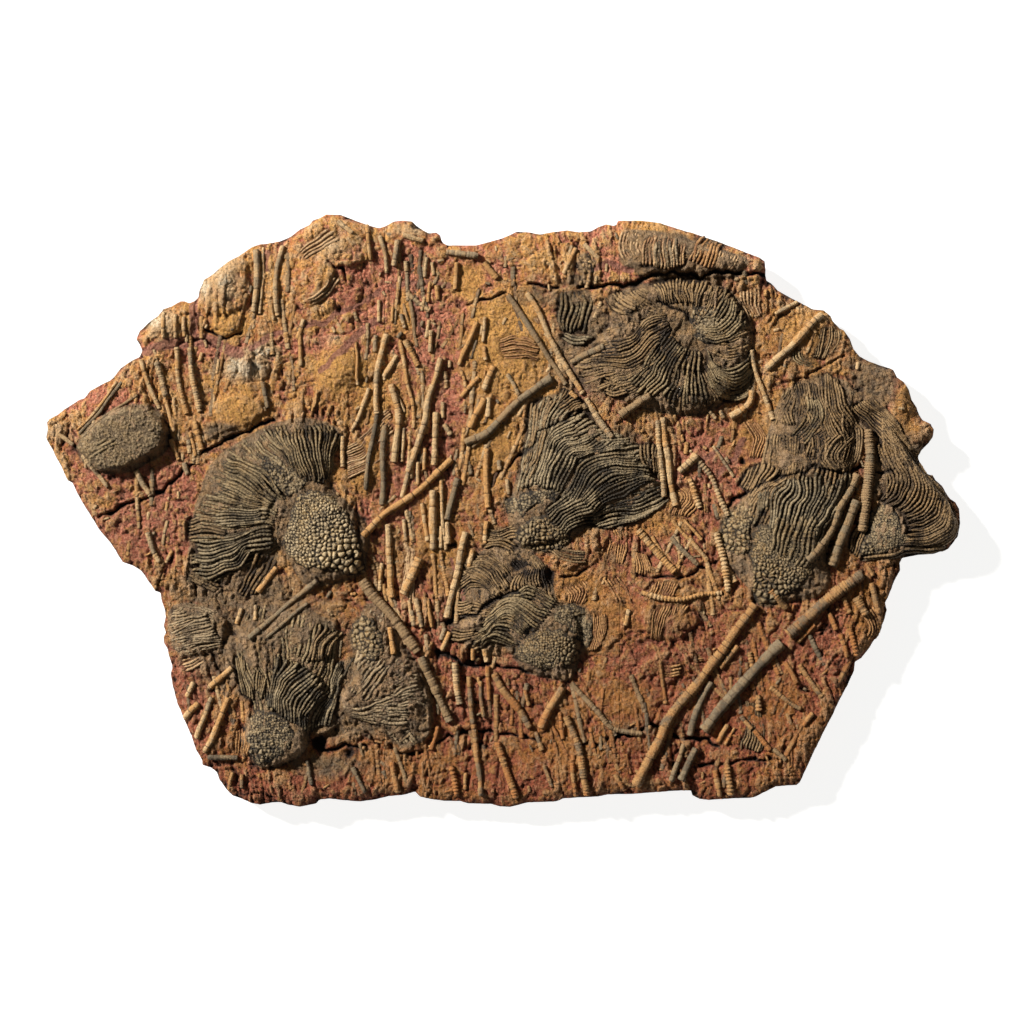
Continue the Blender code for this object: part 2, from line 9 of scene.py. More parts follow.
import bmesh
import bpy
import mathutils
import numpy as np
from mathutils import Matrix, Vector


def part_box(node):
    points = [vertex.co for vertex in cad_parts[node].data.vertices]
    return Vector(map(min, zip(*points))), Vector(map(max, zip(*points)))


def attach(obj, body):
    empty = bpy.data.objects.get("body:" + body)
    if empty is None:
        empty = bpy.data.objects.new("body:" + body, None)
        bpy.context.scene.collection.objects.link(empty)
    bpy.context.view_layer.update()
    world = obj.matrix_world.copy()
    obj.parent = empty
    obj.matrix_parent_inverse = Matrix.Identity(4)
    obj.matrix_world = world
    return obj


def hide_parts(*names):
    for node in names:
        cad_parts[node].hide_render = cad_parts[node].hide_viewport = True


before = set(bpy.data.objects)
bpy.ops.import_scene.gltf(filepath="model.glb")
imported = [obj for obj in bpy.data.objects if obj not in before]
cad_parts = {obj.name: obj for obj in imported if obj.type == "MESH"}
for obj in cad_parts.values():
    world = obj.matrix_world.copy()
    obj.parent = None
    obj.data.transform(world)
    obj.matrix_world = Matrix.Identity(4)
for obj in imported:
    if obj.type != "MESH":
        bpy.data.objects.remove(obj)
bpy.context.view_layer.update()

# ---- the survey grid ----------------------------------------------------------------------------
LEFT, RIGHT = 45.0, 961.0                    # survey lines at the slab's two ends
TOP, BOTTOM = 214.5, 807.5                   # survey lines at its upper and lower edges
slab_low, slab_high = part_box("matrix_slab")
SQUARE = (slab_high[0] - slab_low[0]) / (RIGHT - LEFT)
MID_U, MID_V = (LEFT + RIGHT) / 2, (TOP + BOTTOM) / 2
FIELD_U, FIELD_V = 30, 200                   # first survey lines of the height fields
FIELD_WIDE, FIELD_HIGH = 945, 625
MM = 0.001

ROCK_DEPTH = 0.031                           # back to the mean level of the face
EDGE_FALL = 0.006                            # how far the face drops at the broken edge
EDGE_REACH = 14.0
ARM_BED = 2.2 * MM                           # how far the rock lies under the arms
FACE_TOP, FACE_SLACK = 0.0435, 0.0035        # where the face stops swelling, and how softly

# The slab's broken outline, clockwise from the left tip.
OUTLINE = (
    45, 437, 47, 429, 46, 422, 49, 419, 58, 414, 64, 409, 78, 400, 84, 398, 89, 391, 100, 385, 110, 380,
    115, 375, 120, 368, 132, 360, 139, 357, 142, 350, 139, 344, 136, 339, 139, 331, 143, 328, 150, 321,
    158, 316, 163, 309, 172, 306, 180, 301, 184, 301, 189, 303, 194, 301, 198, 297, 199, 290, 204, 280,
    212, 275, 220, 268, 228, 262, 239, 256, 251, 247, 259, 244, 268, 243, 279, 241, 291, 236, 300, 229,
    309, 225, 313, 220, 320, 218, 326, 214.5, 340, 214.5, 347, 217, 357, 221, 368, 225, 379, 228, 385,
    226, 394, 221, 402, 220, 412, 221, 416, 225, 423, 230, 429, 233, 436, 232, 440, 235, 442, 242, 447,
    245, 460, 245, 476, 245, 491, 241, 502, 238, 509, 235, 517, 231, 529, 232, 540, 234, 551, 232, 567,
    230, 579, 232, 591, 231, 598, 227, 606, 224, 616, 226, 618, 220.5, 642, 220.5, 660, 223, 679, 229,
    699, 235, 720, 242, 740, 250, 760, 257.5, 765, 261, 766.5, 280, 772, 283, 778, 290, 789, 296, 800,
    302, 813, 309, 824, 310, 831, 316, 833, 321, 840, 328, 844, 330, 850, 338, 854, 349, 860, 356, 869,
    361, 880, 365, 890, 368, 894, 370, 897, 377, 904, 382, 909, 390, 912, 400, 917, 407, 920, 415, 923,
    420, 931, 424, 934, 430, 933, 437, 928, 444, 922, 450, 918, 457, 920, 462, 924, 468, 928, 475, 933,
    475, 936, 480, 943, 486, 948, 495, 951, 499, 956, 502, 960, 509, 961, 523, 959, 536, 953, 544, 949,
    549, 934, 554, 919, 555, 903, 558, 900, 563, 901, 570, 896, 579, 890, 594, 885.5, 603, 887.5, 610,
    884, 622, 879, 633, 871, 646, 862, 658, 855.5, 662, 854.5, 671, 849, 684, 842, 696, 832.5, 716, 824,
    732, 815.5, 750, 807, 768, 800, 783, 797, 785.5, 787, 786, 776, 787, 766, 792, 756, 797, 750, 798.5,
    730, 799, 709, 800.5, 700, 799.5, 693, 796, 691.5, 790.5, 670, 791.5, 650, 793, 630, 794.5, 608, 795,
    598, 797, 577, 798, 563, 799, 556, 802, 542, 802.5, 528, 803, 518, 805.5, 510, 807.5, 500, 807, 491,
    804.5, 468, 804, 460, 801.5, 446, 801.5, 434, 800, 420, 797, 415, 792, 405, 795, 389, 796.5, 375, 800,
    360, 802, 341, 800.5, 329, 799, 319, 800, 316, 804, 300, 807, 287, 805, 281, 802.5, 271, 803, 260,
    805, 252, 803.5, 241, 799, 232, 796, 226, 790, 219, 780, 216, 772, 211, 768, 202, 765, 202, 760,
    195.5, 749, 191, 735, 184, 720, 180, 710, 177, 703.5, 174.5, 695, 172, 685, 170, 674, 172, 667, 169,
    658, 167, 649, 163.5, 643, 163, 637, 165.5, 633, 163, 626, 165, 617, 164, 609, 161, 601, 160, 593,
    155, 591, 150, 584, 147, 580, 141, 571, 133, 566, 122, 562, 118, 556, 114, 549, 109, 542, 103, 535,
    98, 529, 92, 519, 85, 508, 76.5, 493, 72, 483, 67, 480, 62, 469, 56, 458, 51, 448)

# Swellings and hollows of the face: u, v, half length, half width, turn in degrees, height in mm.
LUMPS = (
    (225, 282, 36, 24, 80, 8), (328, 272, 56, 40, 75, 11), (166, 326, 26, 20, 30, 6),
    (248, 362, 26, 20, 0, 6), (240, 408, 28, 22, 20, 5), (122, 440, 46, 34, 15, 6),
    (340, 372, 27, 20, 80, 7), (525, 355, 26, 20, 60, 5), (365, 465, 36, 22, 75, 4),
    (255, 515, 80, 62, 20, 4), (290, 690, 70, 60, 80, 4), (385, 690, 70, 42, 60, 5),
    (590, 455, 70, 45, 20, 3), (655, 350, 100, 72, 0, 7), (800, 500, 95, 62, 70, 7),
    (525, 610, 62, 50, 30, 5), (915, 480, 60, 38, 70, 4), (690, 252, 78, 28, -10, 5),
    (900, 408, 38, 14, 75, 7), (922, 432, 14, 12, 0, 5), (628, 625, 34, 26, 60, 6),
    (672, 610, 40, 30, 80, 4), (645, 665, 40, 22, 10, 4), (618, 712, 44, 22, -20, 4),
    (470, 275, 50, 24, 0, -4), (450, 400, 60, 34, 80, -4), (470, 500, 40, 50, 0, -3),
    (740, 450, 36, 46, 0, -4), (700, 700, 60, 60, 0, -3), (480, 745, 70, 40, 0, -3),
    (395, 560, 34, 40, 0, -4), (590, 760, 60, 32, 0, 2), (850, 640, 34, 30, 50, 3),
    (228, 326, 16, 12, 10, 5), (205, 725, 26, 40, -20, 3), (140, 540, 40, 34, 30, 2),
    (800, 345, 44, 30, 30, 3))

# Open cracks and ledges: width in squares, depth in mm, then the run.
CRACKS = (
    (2.4, 6, 468, 306, 480, 301, 492, 299, 506, 292), (2.6, 7, 527, 284, 540, 286, 556, 285),
    (3.4, 8, 580, 288, 605, 286, 630, 284, 650, 276, 670, 272, 690, 273, 700, 277, 720, 271, 765, 275),
    (2.8, 7, 98, 516, 130, 503, 151, 497, 164, 491, 178, 474, 192, 463, 208, 449, 228, 440, 247, 432, 275,
     420), (2.6, 6, 492, 487, 500, 474, 515, 462, 529, 449, 543, 428, 563, 421, 582, 408),
    (2.8, 6, 722, 508, 745, 495, 765, 485, 780, 478, 800, 473, 812, 466, 840, 475, 860, 468, 890, 472),
    (2.2, 4, 780, 384, 800, 380, 820, 366, 845, 356),
    (3.4, 8, 440, 624, 454, 620, 477, 613, 498, 598, 519, 594),
    (3.0, 7, 440, 655, 462, 661, 480, 664, 500, 667, 528, 671),
    (2.4, 5, 634, 575, 655, 578, 677, 577, 701, 568, 716, 561),
    (3.0, 7, 318, 748, 330, 752, 345, 745, 365, 745), (2.6, 6, 430, 745, 460, 730, 500, 732, 540, 740),
    (3.2, 8, 605, 740, 615, 735, 634, 733, 643, 731, 653, 728, 670, 734, 684, 741, 703, 738, 722, 748),
    (2.4, 5, 700, 765, 732, 765, 749, 759, 777, 760), (2.6, 6, 655, 303, 665, 307, 680, 312, 690, 320),
    (2.2, 5, 390, 745, 405, 755, 420, 750), (2.2, 5, 575, 745, 600, 745, 610, 738),
    (2.4, 5, 560, 577, 580, 573, 590, 566), (2.2, 5, 330, 262, 345, 272, 348, 282),
    (2.4, 6, 205, 330, 225, 338, 240, 334), (2.2, 5, 180, 345, 200, 340, 215, 346))

# Pits: u, v, radius in squares, depth in mm.
PITS = (
    (805, 690, 3.5, 7), (340, 310, 3, 6), (678, 345, 3, 4), (764, 513, 4, 7), (530, 635, 6, 7),
    (521, 569, 9, 6), (548, 577, 9, 7), (487, 660, 6, 6), (470, 658, 6, 5), (320, 744, 9, 8),
    (350, 750, 8, 5), (745, 463, 4, 6), (250, 300, 4, 5), (560, 535, 6, 5), (437, 655, 5, 6),
    (452, 545, 5, 5), (590, 520, 5, 5), (690, 640, 4, 4), (212, 690, 5, 5), (170, 560, 5, 4))

# The heads.  joint: where the cup meets its stem, and the stem's width.  cheeks: the widest places
# of the cup beside the first and the last arm.  cup, rise: heights of cup and arms in mm.  pitch:
# squares from arm to arm.  arms: the run of each marked arm, in order across the fan.
HEADS = {
    "crown_west": dict(
        joint=(357, 573, 12), cheeks=(366, 528, 306, 582), cup=11, rise=8, pitch=4.3, bed="olive",
        arms=((330, 486, 333, 460, 338, 445, 343, 430), (319, 480, 320, 455, 318, 435, 313, 419),
              (307, 482, 302, 458, 294, 438, 283, 422), (295, 490, 280, 470, 264, 453, 247, 437),
              (286, 502, 262, 488, 238, 474, 214, 461), (281, 513, 255, 507, 229, 500, 200, 491),
              (278, 525, 252, 524, 226, 526, 192, 524), (279, 535, 256, 540, 228, 550, 188, 556),
              (284, 547, 262, 561, 236, 576, 184, 588))),
    "crown_southwest": dict(
        joint=(266, 766, 14), cheeks=(242, 740, 302, 752), cup=12, rise=8, pitch=5.0, bed="olive",
        sunk=-1.5,
        arms=((256, 712, 249, 690, 242, 665, 236, 632, 240, 607),
              (270, 712, 267, 690, 260, 660, 257, 628, 263, 604),
              (286, 716, 285, 695, 284, 665, 285, 632, 290, 606),
              (298, 722, 302, 705, 306, 670, 311, 638, 315, 612),
              (310, 728, 318, 712, 328, 688, 336, 655, 338, 622))),
    "crown_south_mass": dict(
        joint=(343, 703, 16), cheeks=(346, 690, 350, 716), cup=7, rise=7, pitch=4.4, bed="skin",
        sunk=-2.1,
        arms=((353, 680, 357, 655, 360, 625, 363, 603), (360, 682, 370, 655, 378, 628, 385, 606),
              (365, 690, 382, 670, 396, 652, 404, 646), (368, 698, 390, 684, 408, 672, 422, 672),
              (368, 705, 392, 700, 414, 698, 432, 704), (366, 712, 388, 716, 410, 724, 428, 736),
              (362, 718, 378, 728, 392, 738, 402, 752))),
    "crown_west_fan": dict(
        joint=(227, 626, 12), cheeks=(223, 616, 225, 638), cup=3, rise=5, pitch=3.4, bed="skin",
        arms=((218, 610, 200, 606, 184, 604, 170, 607), (216, 620, 200, 617, 184, 616, 168, 618),
              (216, 632, 200, 632, 186, 636, 171, 640), (222, 646, 208, 650, 196, 654, 180, 658))),
    "crown_centre": dict(
        joint=(520, 544, 10), cheeks=(510, 518, 568, 538), cup=7, rise=9, pitch=5.0, bed="grey",
        arms=((514, 494, 520, 470, 525, 440, 531, 406), (528, 486, 536, 458, 546, 428, 559, 394),
              (543, 488, 556, 460, 574, 434, 600, 424), (556, 494, 572, 466, 600, 448, 640, 445),
              (568, 504, 590, 480, 622, 464, 654, 460), (578, 514, 604, 492, 634, 480, 660, 477),
              (588, 524, 614, 514, 640, 508, 664, 500))),
    "crown_whorl": dict(
        hub=(684, 338, 12), cup=7, rise=9, pitch=4.0, bed="brown",
        arms=((688, 318, 688, 300, 685, 285), (702, 320, 712, 304, 721, 288),
              (710, 330, 728, 320, 744, 308), (712, 344, 732, 342, 751, 334),
              (710, 356, 730, 362, 750, 358), (706, 366, 724, 378, 742, 382),
              (698, 372, 706, 392, 713, 408), (688, 374, 690, 396, 693, 414),
              (678, 372, 668, 394, 656, 410), (668, 364, 648, 384, 624, 400),
              (660, 352, 634, 374, 594, 388), (656, 342, 624, 362, 572, 366),
              (656, 332, 626, 342, 596, 350), (660, 322, 630, 320, 612, 318),
              (668, 316, 646, 302, 626, 290), (678, 314, 668, 298, 656, 286))),
    "crown_east": dict(
        joint=(768, 600, 14), cheeks=(728, 560, 826, 590), cup=10, rise=8, pitch=4.6, bed="brown",
        arms=((730, 524, 742, 500, 752, 486, 762, 466, 768, 440, 776, 410, 786, 388),
              (756, 524, 764, 500, 776, 482, 786, 462, 786, 436, 792, 410, 800, 384),
              (784, 532, 792, 506, 800, 484, 806, 462, 806, 436, 810, 408, 816, 382),
              (806, 540, 816, 512, 822, 486, 826, 460, 828, 436, 830, 408, 834, 378),
              (826, 550, 840, 520, 846, 494, 850, 470, 852, 440, 852, 410, 852, 380))),
    "crown_south": dict(
        joint=(570, 678, 8), cheeks=(580, 628, 524, 668), cup=10, rise=7, pitch=3.7, bed="brown",
        arms=((556, 600, 552, 582, 546, 566, 534, 552), (540, 602, 526, 582, 514, 564, 500, 548),
              (530, 608, 508, 592, 486, 574, 466, 560), (524, 616, 502, 604, 482, 594, 462, 588),
              (520, 624, 498, 616, 478, 620, 460, 616), (518, 634, 500, 628, 484, 634, 464, 640),
              (516, 644, 502, 642, 490, 650, 478, 657))),
    "crown_far_east": dict(
        joint=(858, 552, 10), cheeks=(880, 512, 900, 556), cup=6, rise=7, pitch=5.0, bed="brown",
        arms=((884, 500, 883, 480, 882, 458, 880, 436, 878, 415),
              (895, 500, 898, 480, 896, 460, 891, 440, 885, 422),
              (906, 506, 913, 490, 910, 470, 902, 450, 893, 433),
              (915, 514, 927, 500, 924, 484, 915, 468, 903, 452),
              (920, 524, 938, 514, 939, 500, 931, 486, 919, 474),
              (920, 536, 942, 532, 952, 520, 948, 506, 936, 491),
              (914, 548, 936, 547, 950, 540, 957, 528, 953, 512))),
    "crown_tip": dict(
        joint=(168, 436, 16), cheeks=(160, 418, 160, 454), cup=4, rise=8, pitch=4.2,
        arms=((146, 410, 132, 408, 118, 408), (138, 422, 116, 420, 96, 424),
              (134, 438, 108, 438, 80, 445), (138, 452, 116, 458, 90, 464),
              (148, 460, 132, 470, 108, 474))),
    "crown_north": dict(
        joint=(688, 276, 120), cheeks=(640, 270, 740, 273), cup=3, rise=6, pitch=4.2, bed="tan",
        sunk=-1.2,
        arms=((622, 264, 619, 246, 621, 230), (650, 262, 650, 248, 652, 232),
              (676, 262, 680, 250, 684, 240), (706, 266, 712, 258, 718, 250),
              (738, 270, 746, 266, 750, 260))),
}

# The stems that are parts of the model: width in squares, finish, then the run.
STEMS = {
    "stem_crown_west": (11, "grey", 362, 580, 376, 598, 391, 615, 405, 634, 418, 652),
    "stem_crown_west_tail": (9.5, "grey", 421, 657, 430, 676, 438, 693, 450, 722),
    "stem_long_left": (6, "grey", 508, 295, 523, 317, 536, 337, 548, 356, 557, 371, 566, 385),
    "stem_long_right": (6, "tan", 527, 293, 539, 313, 549, 336, 560, 357, 572, 376, 583, 394),
    "stem_diagonal_north": (9, "grey", 552, 378, 534, 390, 520, 400, 500, 420, 486, 434, 465, 443),
    "stem_upright_b": (7, "tan", 487, 448, 486, 480, 488, 508),
    "stem_diagonal_middle": (8, "tan", 452, 459, 433, 477, 413, 495, 385, 514, 363, 536),
    "stem_upright_c": (7.5, "tan", 436, 412, 435, 440, 434, 465),
    "stem_upright_d": (8, "tan", 433, 490, 433, 511, 433, 550),
    "stem_slant_a": (7, "tan", 441, 358, 436, 375, 429, 397, 424, 423, 416, 449, 408, 472),
    "stem_slant_b": (7, "tan", 387, 334, 382, 352, 378, 372, 377, 398, 377, 414),
    "stem_west_a": (7, "ringed", 157, 362, 162, 378, 166, 396),
    "stem_west_b": (7, "ringed", 190, 347, 191, 368, 195, 390, 200, 412),
    "stem_west_c": (6, "tan", 148, 532, 153, 550, 160, 562),
    "stem_boulder": (7, "tan", 256, 250, 257, 280, 254, 312),
    "stem_north_a": (6, "tan", 283, 246, 278, 266, 276, 290, 278, 316),
    "stem_north_b": (7, "tan", 398, 240, 394, 266),
    "stem_north_c": (5, "tan", 380, 236, 385, 256, 387, 273),
    "stem_north_d": (7, "tan", 446, 252, 478, 256),
    "stem_north_e": (6, "tan", 576, 248, 564, 274),
    "stem_north_f": (7, "ringed", 484, 262, 497, 278),
    "stem_ridge": (8, "grey", 571, 363, 590, 354, 604, 347),
    "stem_log_a": (9, "grey", 620, 416, 635, 405, 650, 396),
    "stem_log_b": (9, "tan", 697, 455, 679, 472),
    "stem_north_east": (8, "tan", 822, 315, 809, 327, 790, 348, 766, 369),
    "stem_cross_east": (6, "tan", 751, 350, 756, 372, 764, 392, 773, 420),
    "stem_elbow": (8, "tan", 752, 390, 750, 402, 742, 410, 730, 417),
    "stem_inner_a": (6, "beaded", 698, 460, 709, 474, 718, 494, 728, 516),
    "stem_inner_b": (8, "ringed", 638, 530, 655, 549, 675, 572),
    "stem_inner_d": (8, "beaded", 716, 532, 724, 560, 728, 592),
    "stem_main_east": (
        11.5, "ringed", 755, 604, 745, 619, 727, 645, 712, 664, 698, 684, 682, 702, 668, 722, 660, 740,
        647, 765, 636, 785),
    "stem_main_east_a": (13, "ringed", 862, 574, 838, 591, 820, 606, 802, 623, 788, 635),
    "stem_main_east_b": (12.5, "grey", 782, 643, 767, 658, 748, 678, 722, 708, 704, 731),
    "stem_edge_a": (9, "ringed", 856, 597, 866, 615),
    "stem_fork_left": (8, "tan", 494, 673, 503, 690, 516, 706, 530, 728),
    "stem_fork_right": (9, "tan", 563, 687, 550, 709, 541, 728),
    "stem_south_a": (8, "ringed", 566, 716, 572, 732, 579, 748, 583, 768, 587, 795),
    "stem_south_b": (8, "ringed", 497, 742, 505, 765, 512, 785, 516, 798),
    "stem_south_c": (8, "ringed", 455, 662, 457, 685, 460, 704),
    "stem_south_d": (6, "tan", 469, 676, 471, 700, 473, 722, 478, 760, 481, 795),
    "stem_south_e": (8, "grey", 696, 748, 681, 780),
    "stem_middle_a": (7.5, "tan", 466, 532, 461, 552, 456, 580, 450, 603, 447, 618),
    "stem_middle_b": (11, "ringed", 420, 558, 411, 579, 404, 594),
    "stem_on_east_a": (9, "grey", 857, 474, 848, 492, 836, 512),
    "stem_on_east_b": (12.5, "grey", 856, 500, 848, 520, 839, 543, 831, 566),
    "stem_on_east_c": (11, "close_rings", 868, 429, 870, 450, 869, 470, 866, 490, 864, 512, 862, 531),
}

# Broken stems too small to be parts of the model, which lie in the rock: width, finish, run.
LOOSE = (
    (6, "tan", 141, 360, 150, 388, 160, 409), (6, "tan", 166, 400, 170, 418, 174, 432),
    (6, "tan", 171, 439, 179, 460), (5, "tan", 174, 397, 176, 416),
    (7, "ringed", 177, 347, 178, 372, 181, 392, 187, 414), (7, "tan", 195, 421, 199, 438, 202, 450),
    (5, "tan", 190, 432, 196, 456), (5, "tan", 83, 455, 108, 487), (7, "tan", 136, 470, 151, 496),
    (4.5, "grey", 122, 382, 110, 399, 98, 415, 80, 434),
    (4, "grey", 138, 395, 120, 407, 102, 419, 84, 438), (4, "tan", 117, 382, 102, 402, 90, 418, 78, 430),
    (5, "tan", 57, 433, 74, 445), (4, "tan", 263, 247, 263, 279, 260, 314),
    (5, "tan", 271, 304, 274, 320), (6, "tan", 367, 225, 369, 242, 371, 260),
    (7, "tan", 403, 235, 423, 241), (6, "tan", 338, 222, 353, 234), (6, "tan", 407, 293, 430, 311),
    (5, "tan", 427, 257, 425, 277), (5, "ringed", 432, 262, 434, 275), (5, "tan", 430, 282, 428, 302),
    (6, "tan", 437, 285, 438, 300), (5, "tan", 379, 300, 379, 322), (4, "tan", 393, 307, 392, 322),
    (5, "tan", 401, 314, 405, 328), (6, "tan", 376, 335, 375, 352), (5, "tan", 300, 335, 301, 366),
    (6, "grey", 263, 382, 268, 408), (7, "tan", 277, 567, 258, 592),
    (8, "tan", 391, 384, 397, 405, 398, 430, 394, 462), (4, "tan", 461, 370, 466, 387),
    (4, "grey", 498, 426, 472, 447), (4, "tan", 404, 428, 402, 462), (4, "tan", 410, 436, 408, 468),
    (6, "grey", 377, 414, 373, 436, 369, 458, 366, 490),
    (7, "grey", 385, 425, 383, 450, 383, 478, 382, 505), (6, "tan", 409, 468, 402, 498),
    (5, "tan", 418, 462, 418, 485), (6, "tan", 412, 610, 414, 626), (7, "tan", 447, 522, 448, 544),
    (5, "tan", 441, 526, 441, 548), (6, "tan", 445, 628, 441, 640), (7, "tan", 397, 355, 384, 377),
    (5, "tan", 400, 340, 404, 360, 408, 385, 413, 405, 414, 428), (7, "ringed", 405, 340, 418, 366),
    (6, "tan", 431, 330, 430, 352), (4, "tan", 356, 342, 358, 385),
    (5.5, "tan", 369, 388, 364, 404, 351, 432), (6, "tan", 343, 436, 343, 467),
    (3, "tan", 396, 390, 405, 412), (5, "tan", 443, 402, 443, 418), (4.5, "tan", 425, 448, 424, 470),
    (6, "tan", 422, 503, 428, 541), (5, "tan", 404, 519, 406, 541),
    (8, "tan", 388, 524, 389, 560, 392, 598), (7, "tan", 390, 627, 394, 654),
    (5, "tan", 441, 480, 443, 520, 446, 550), (8, "grey", 458, 478, 452, 500, 447, 520),
    (6, "tan", 457, 262, 455, 290), (6, "tan", 577, 398, 570, 392), (6, "tan", 590, 403, 595, 412),
    (6, "tan", 584, 244, 599, 259), (6, "tan", 477, 322, 469, 342, 459, 365),
    (5, "tan", 485, 317, 483, 342), (5, "tan", 484, 346, 486, 360), (8, "tan", 494, 366, 484, 391),
    (8, "tan", 485, 398, 470, 428), (6, "tan", 479, 377, 461, 397), (7, "tan", 489, 397, 488, 417),
    (6, "tan", 487, 521, 485, 544), (6, "tan", 444, 424, 451, 435), (5, "tan", 507, 374, 519, 395),
    (6, "tan", 499, 460, 500, 470), (5, "tan", 507, 479, 509, 494), (5, "tan", 798, 302, 775, 314),
    (5, "tan", 720, 410, 724, 418), (5, "tan", 709, 411, 716, 419),
    (7, "ringed", 658, 420, 660, 455, 664, 497), (7, "beaded", 689, 478, 700, 508),
    (4, "tan", 713, 446, 734, 477), (5, "tan", 672, 520, 690, 541, 708, 560),
    (5, "tan", 652, 536, 664, 556, 676, 571), (6, "grey", 671, 537, 684, 551, 698, 565),
    (4, "tan", 684, 520, 702, 540), (6, "beaded", 641, 592, 660, 598, 680, 600, 700, 595, 722, 593),
    (8, "tan", 738, 646, 720, 668), (8, "grey", 712, 682, 702, 700, 696, 716, 690, 736),
    (6, "tan", 815, 624, 797, 643), (6, "ringed", 843, 597, 850, 613), (7, "tan", 871, 583, 879, 614),
    (5, "tan", 867, 566, 873, 576), (6, "tan", 829, 613, 836, 630), (6, "tan", 840, 634, 847, 657),
    (7, "beaded", 850, 630, 857, 656), (6, "tan", 785, 662, 797, 683),
    (6, "tan", 799, 664, 812, 684, 822, 697), (6, "ringed", 770, 687, 792, 704, 801, 709),
    (8, "beaded", 758, 695, 759, 711), (6, "beaded", 750, 652, 753, 671), (6, "tan", 741, 716, 752, 729),
    (6, "tan", 754, 730, 770, 750), (6, "grey", 773, 749, 786, 760), (6, "tan", 728, 725, 718, 743),
    (4, "tan", 735, 728, 725, 745), (6, "tan", 813, 713, 803, 726), (7, "tan", 715, 770, 720, 796),
    (8, "beaded", 727, 765, 731, 795), (7, "tan", 615, 774, 625, 790), (7, "grey", 684, 744, 671, 781),
    (5, "tan", 481, 681, 481, 698, 484, 717), (6, "tan", 488, 666, 489, 700),
    (5, "tan", 560, 712, 563, 739), (6, "ringed", 572, 762, 576, 796), (7, "beaded", 451, 766, 457, 796),
    (5, "tan", 466, 773, 465, 790), (7, "tan", 438, 726, 431, 750), (5, "tan", 525, 690, 529, 706),
    (5, "tan", 544, 765, 552, 787), (5, "tan", 382, 563, 380, 591), (6, "tan", 473, 550, 469, 567),
    (7, "tan", 416, 598, 422, 627), (5, "tan", 409, 600, 412, 622), (5, "tan", 428, 600, 432, 627),
    (6, "tan", 426, 634, 428, 650), (6, "tan", 473, 648, 473, 660), (8, "tan", 485, 648, 487, 662),
    (7, "grey", 318, 580, 292, 602, 271, 620, 250, 638), (5, "grey", 308, 603, 268, 637),
    (6, "tan", 242, 608, 237, 624), (5, "tan", 256, 605, 256, 620), (8, "tan", 233, 667, 209, 688),
    (7, "tan", 194, 682, 187, 697), (8, "tan", 199, 703, 185, 718),
    (7, "tan", 212, 697, 205, 715, 197, 738), (8, "tan", 229, 697, 219, 722, 205, 752),
    (6, "grey", 208, 757, 238, 758), (5, "tan", 233, 772, 229, 790), (5, "tan", 242, 774, 242, 788),
    (5, "grey", 307, 760, 312, 785), (6, "grey", 353, 767, 365, 792), (8, "tan", 392, 762, 398, 792),
    (6, "tan", 442, 650, 450, 632), (5, "tan", 164, 312, 164, 338), (5, "tan", 176, 315, 176, 338),
    (10, "grey", 838, 510, 829, 532, 818, 548, 806, 560), (8, "ringed", 786, 608, 775, 596, 770, 590),
    (5, "tan", 184, 317, 185, 337),
    (6.5, "close_rings", 571, 683, 585, 697, 598, 712, 614, 729, 642, 734),
    (7, "tan", 586, 398, 598, 418, 612, 438), (8, "tan", 663, 417, 667, 450, 670, 478, 676, 506))

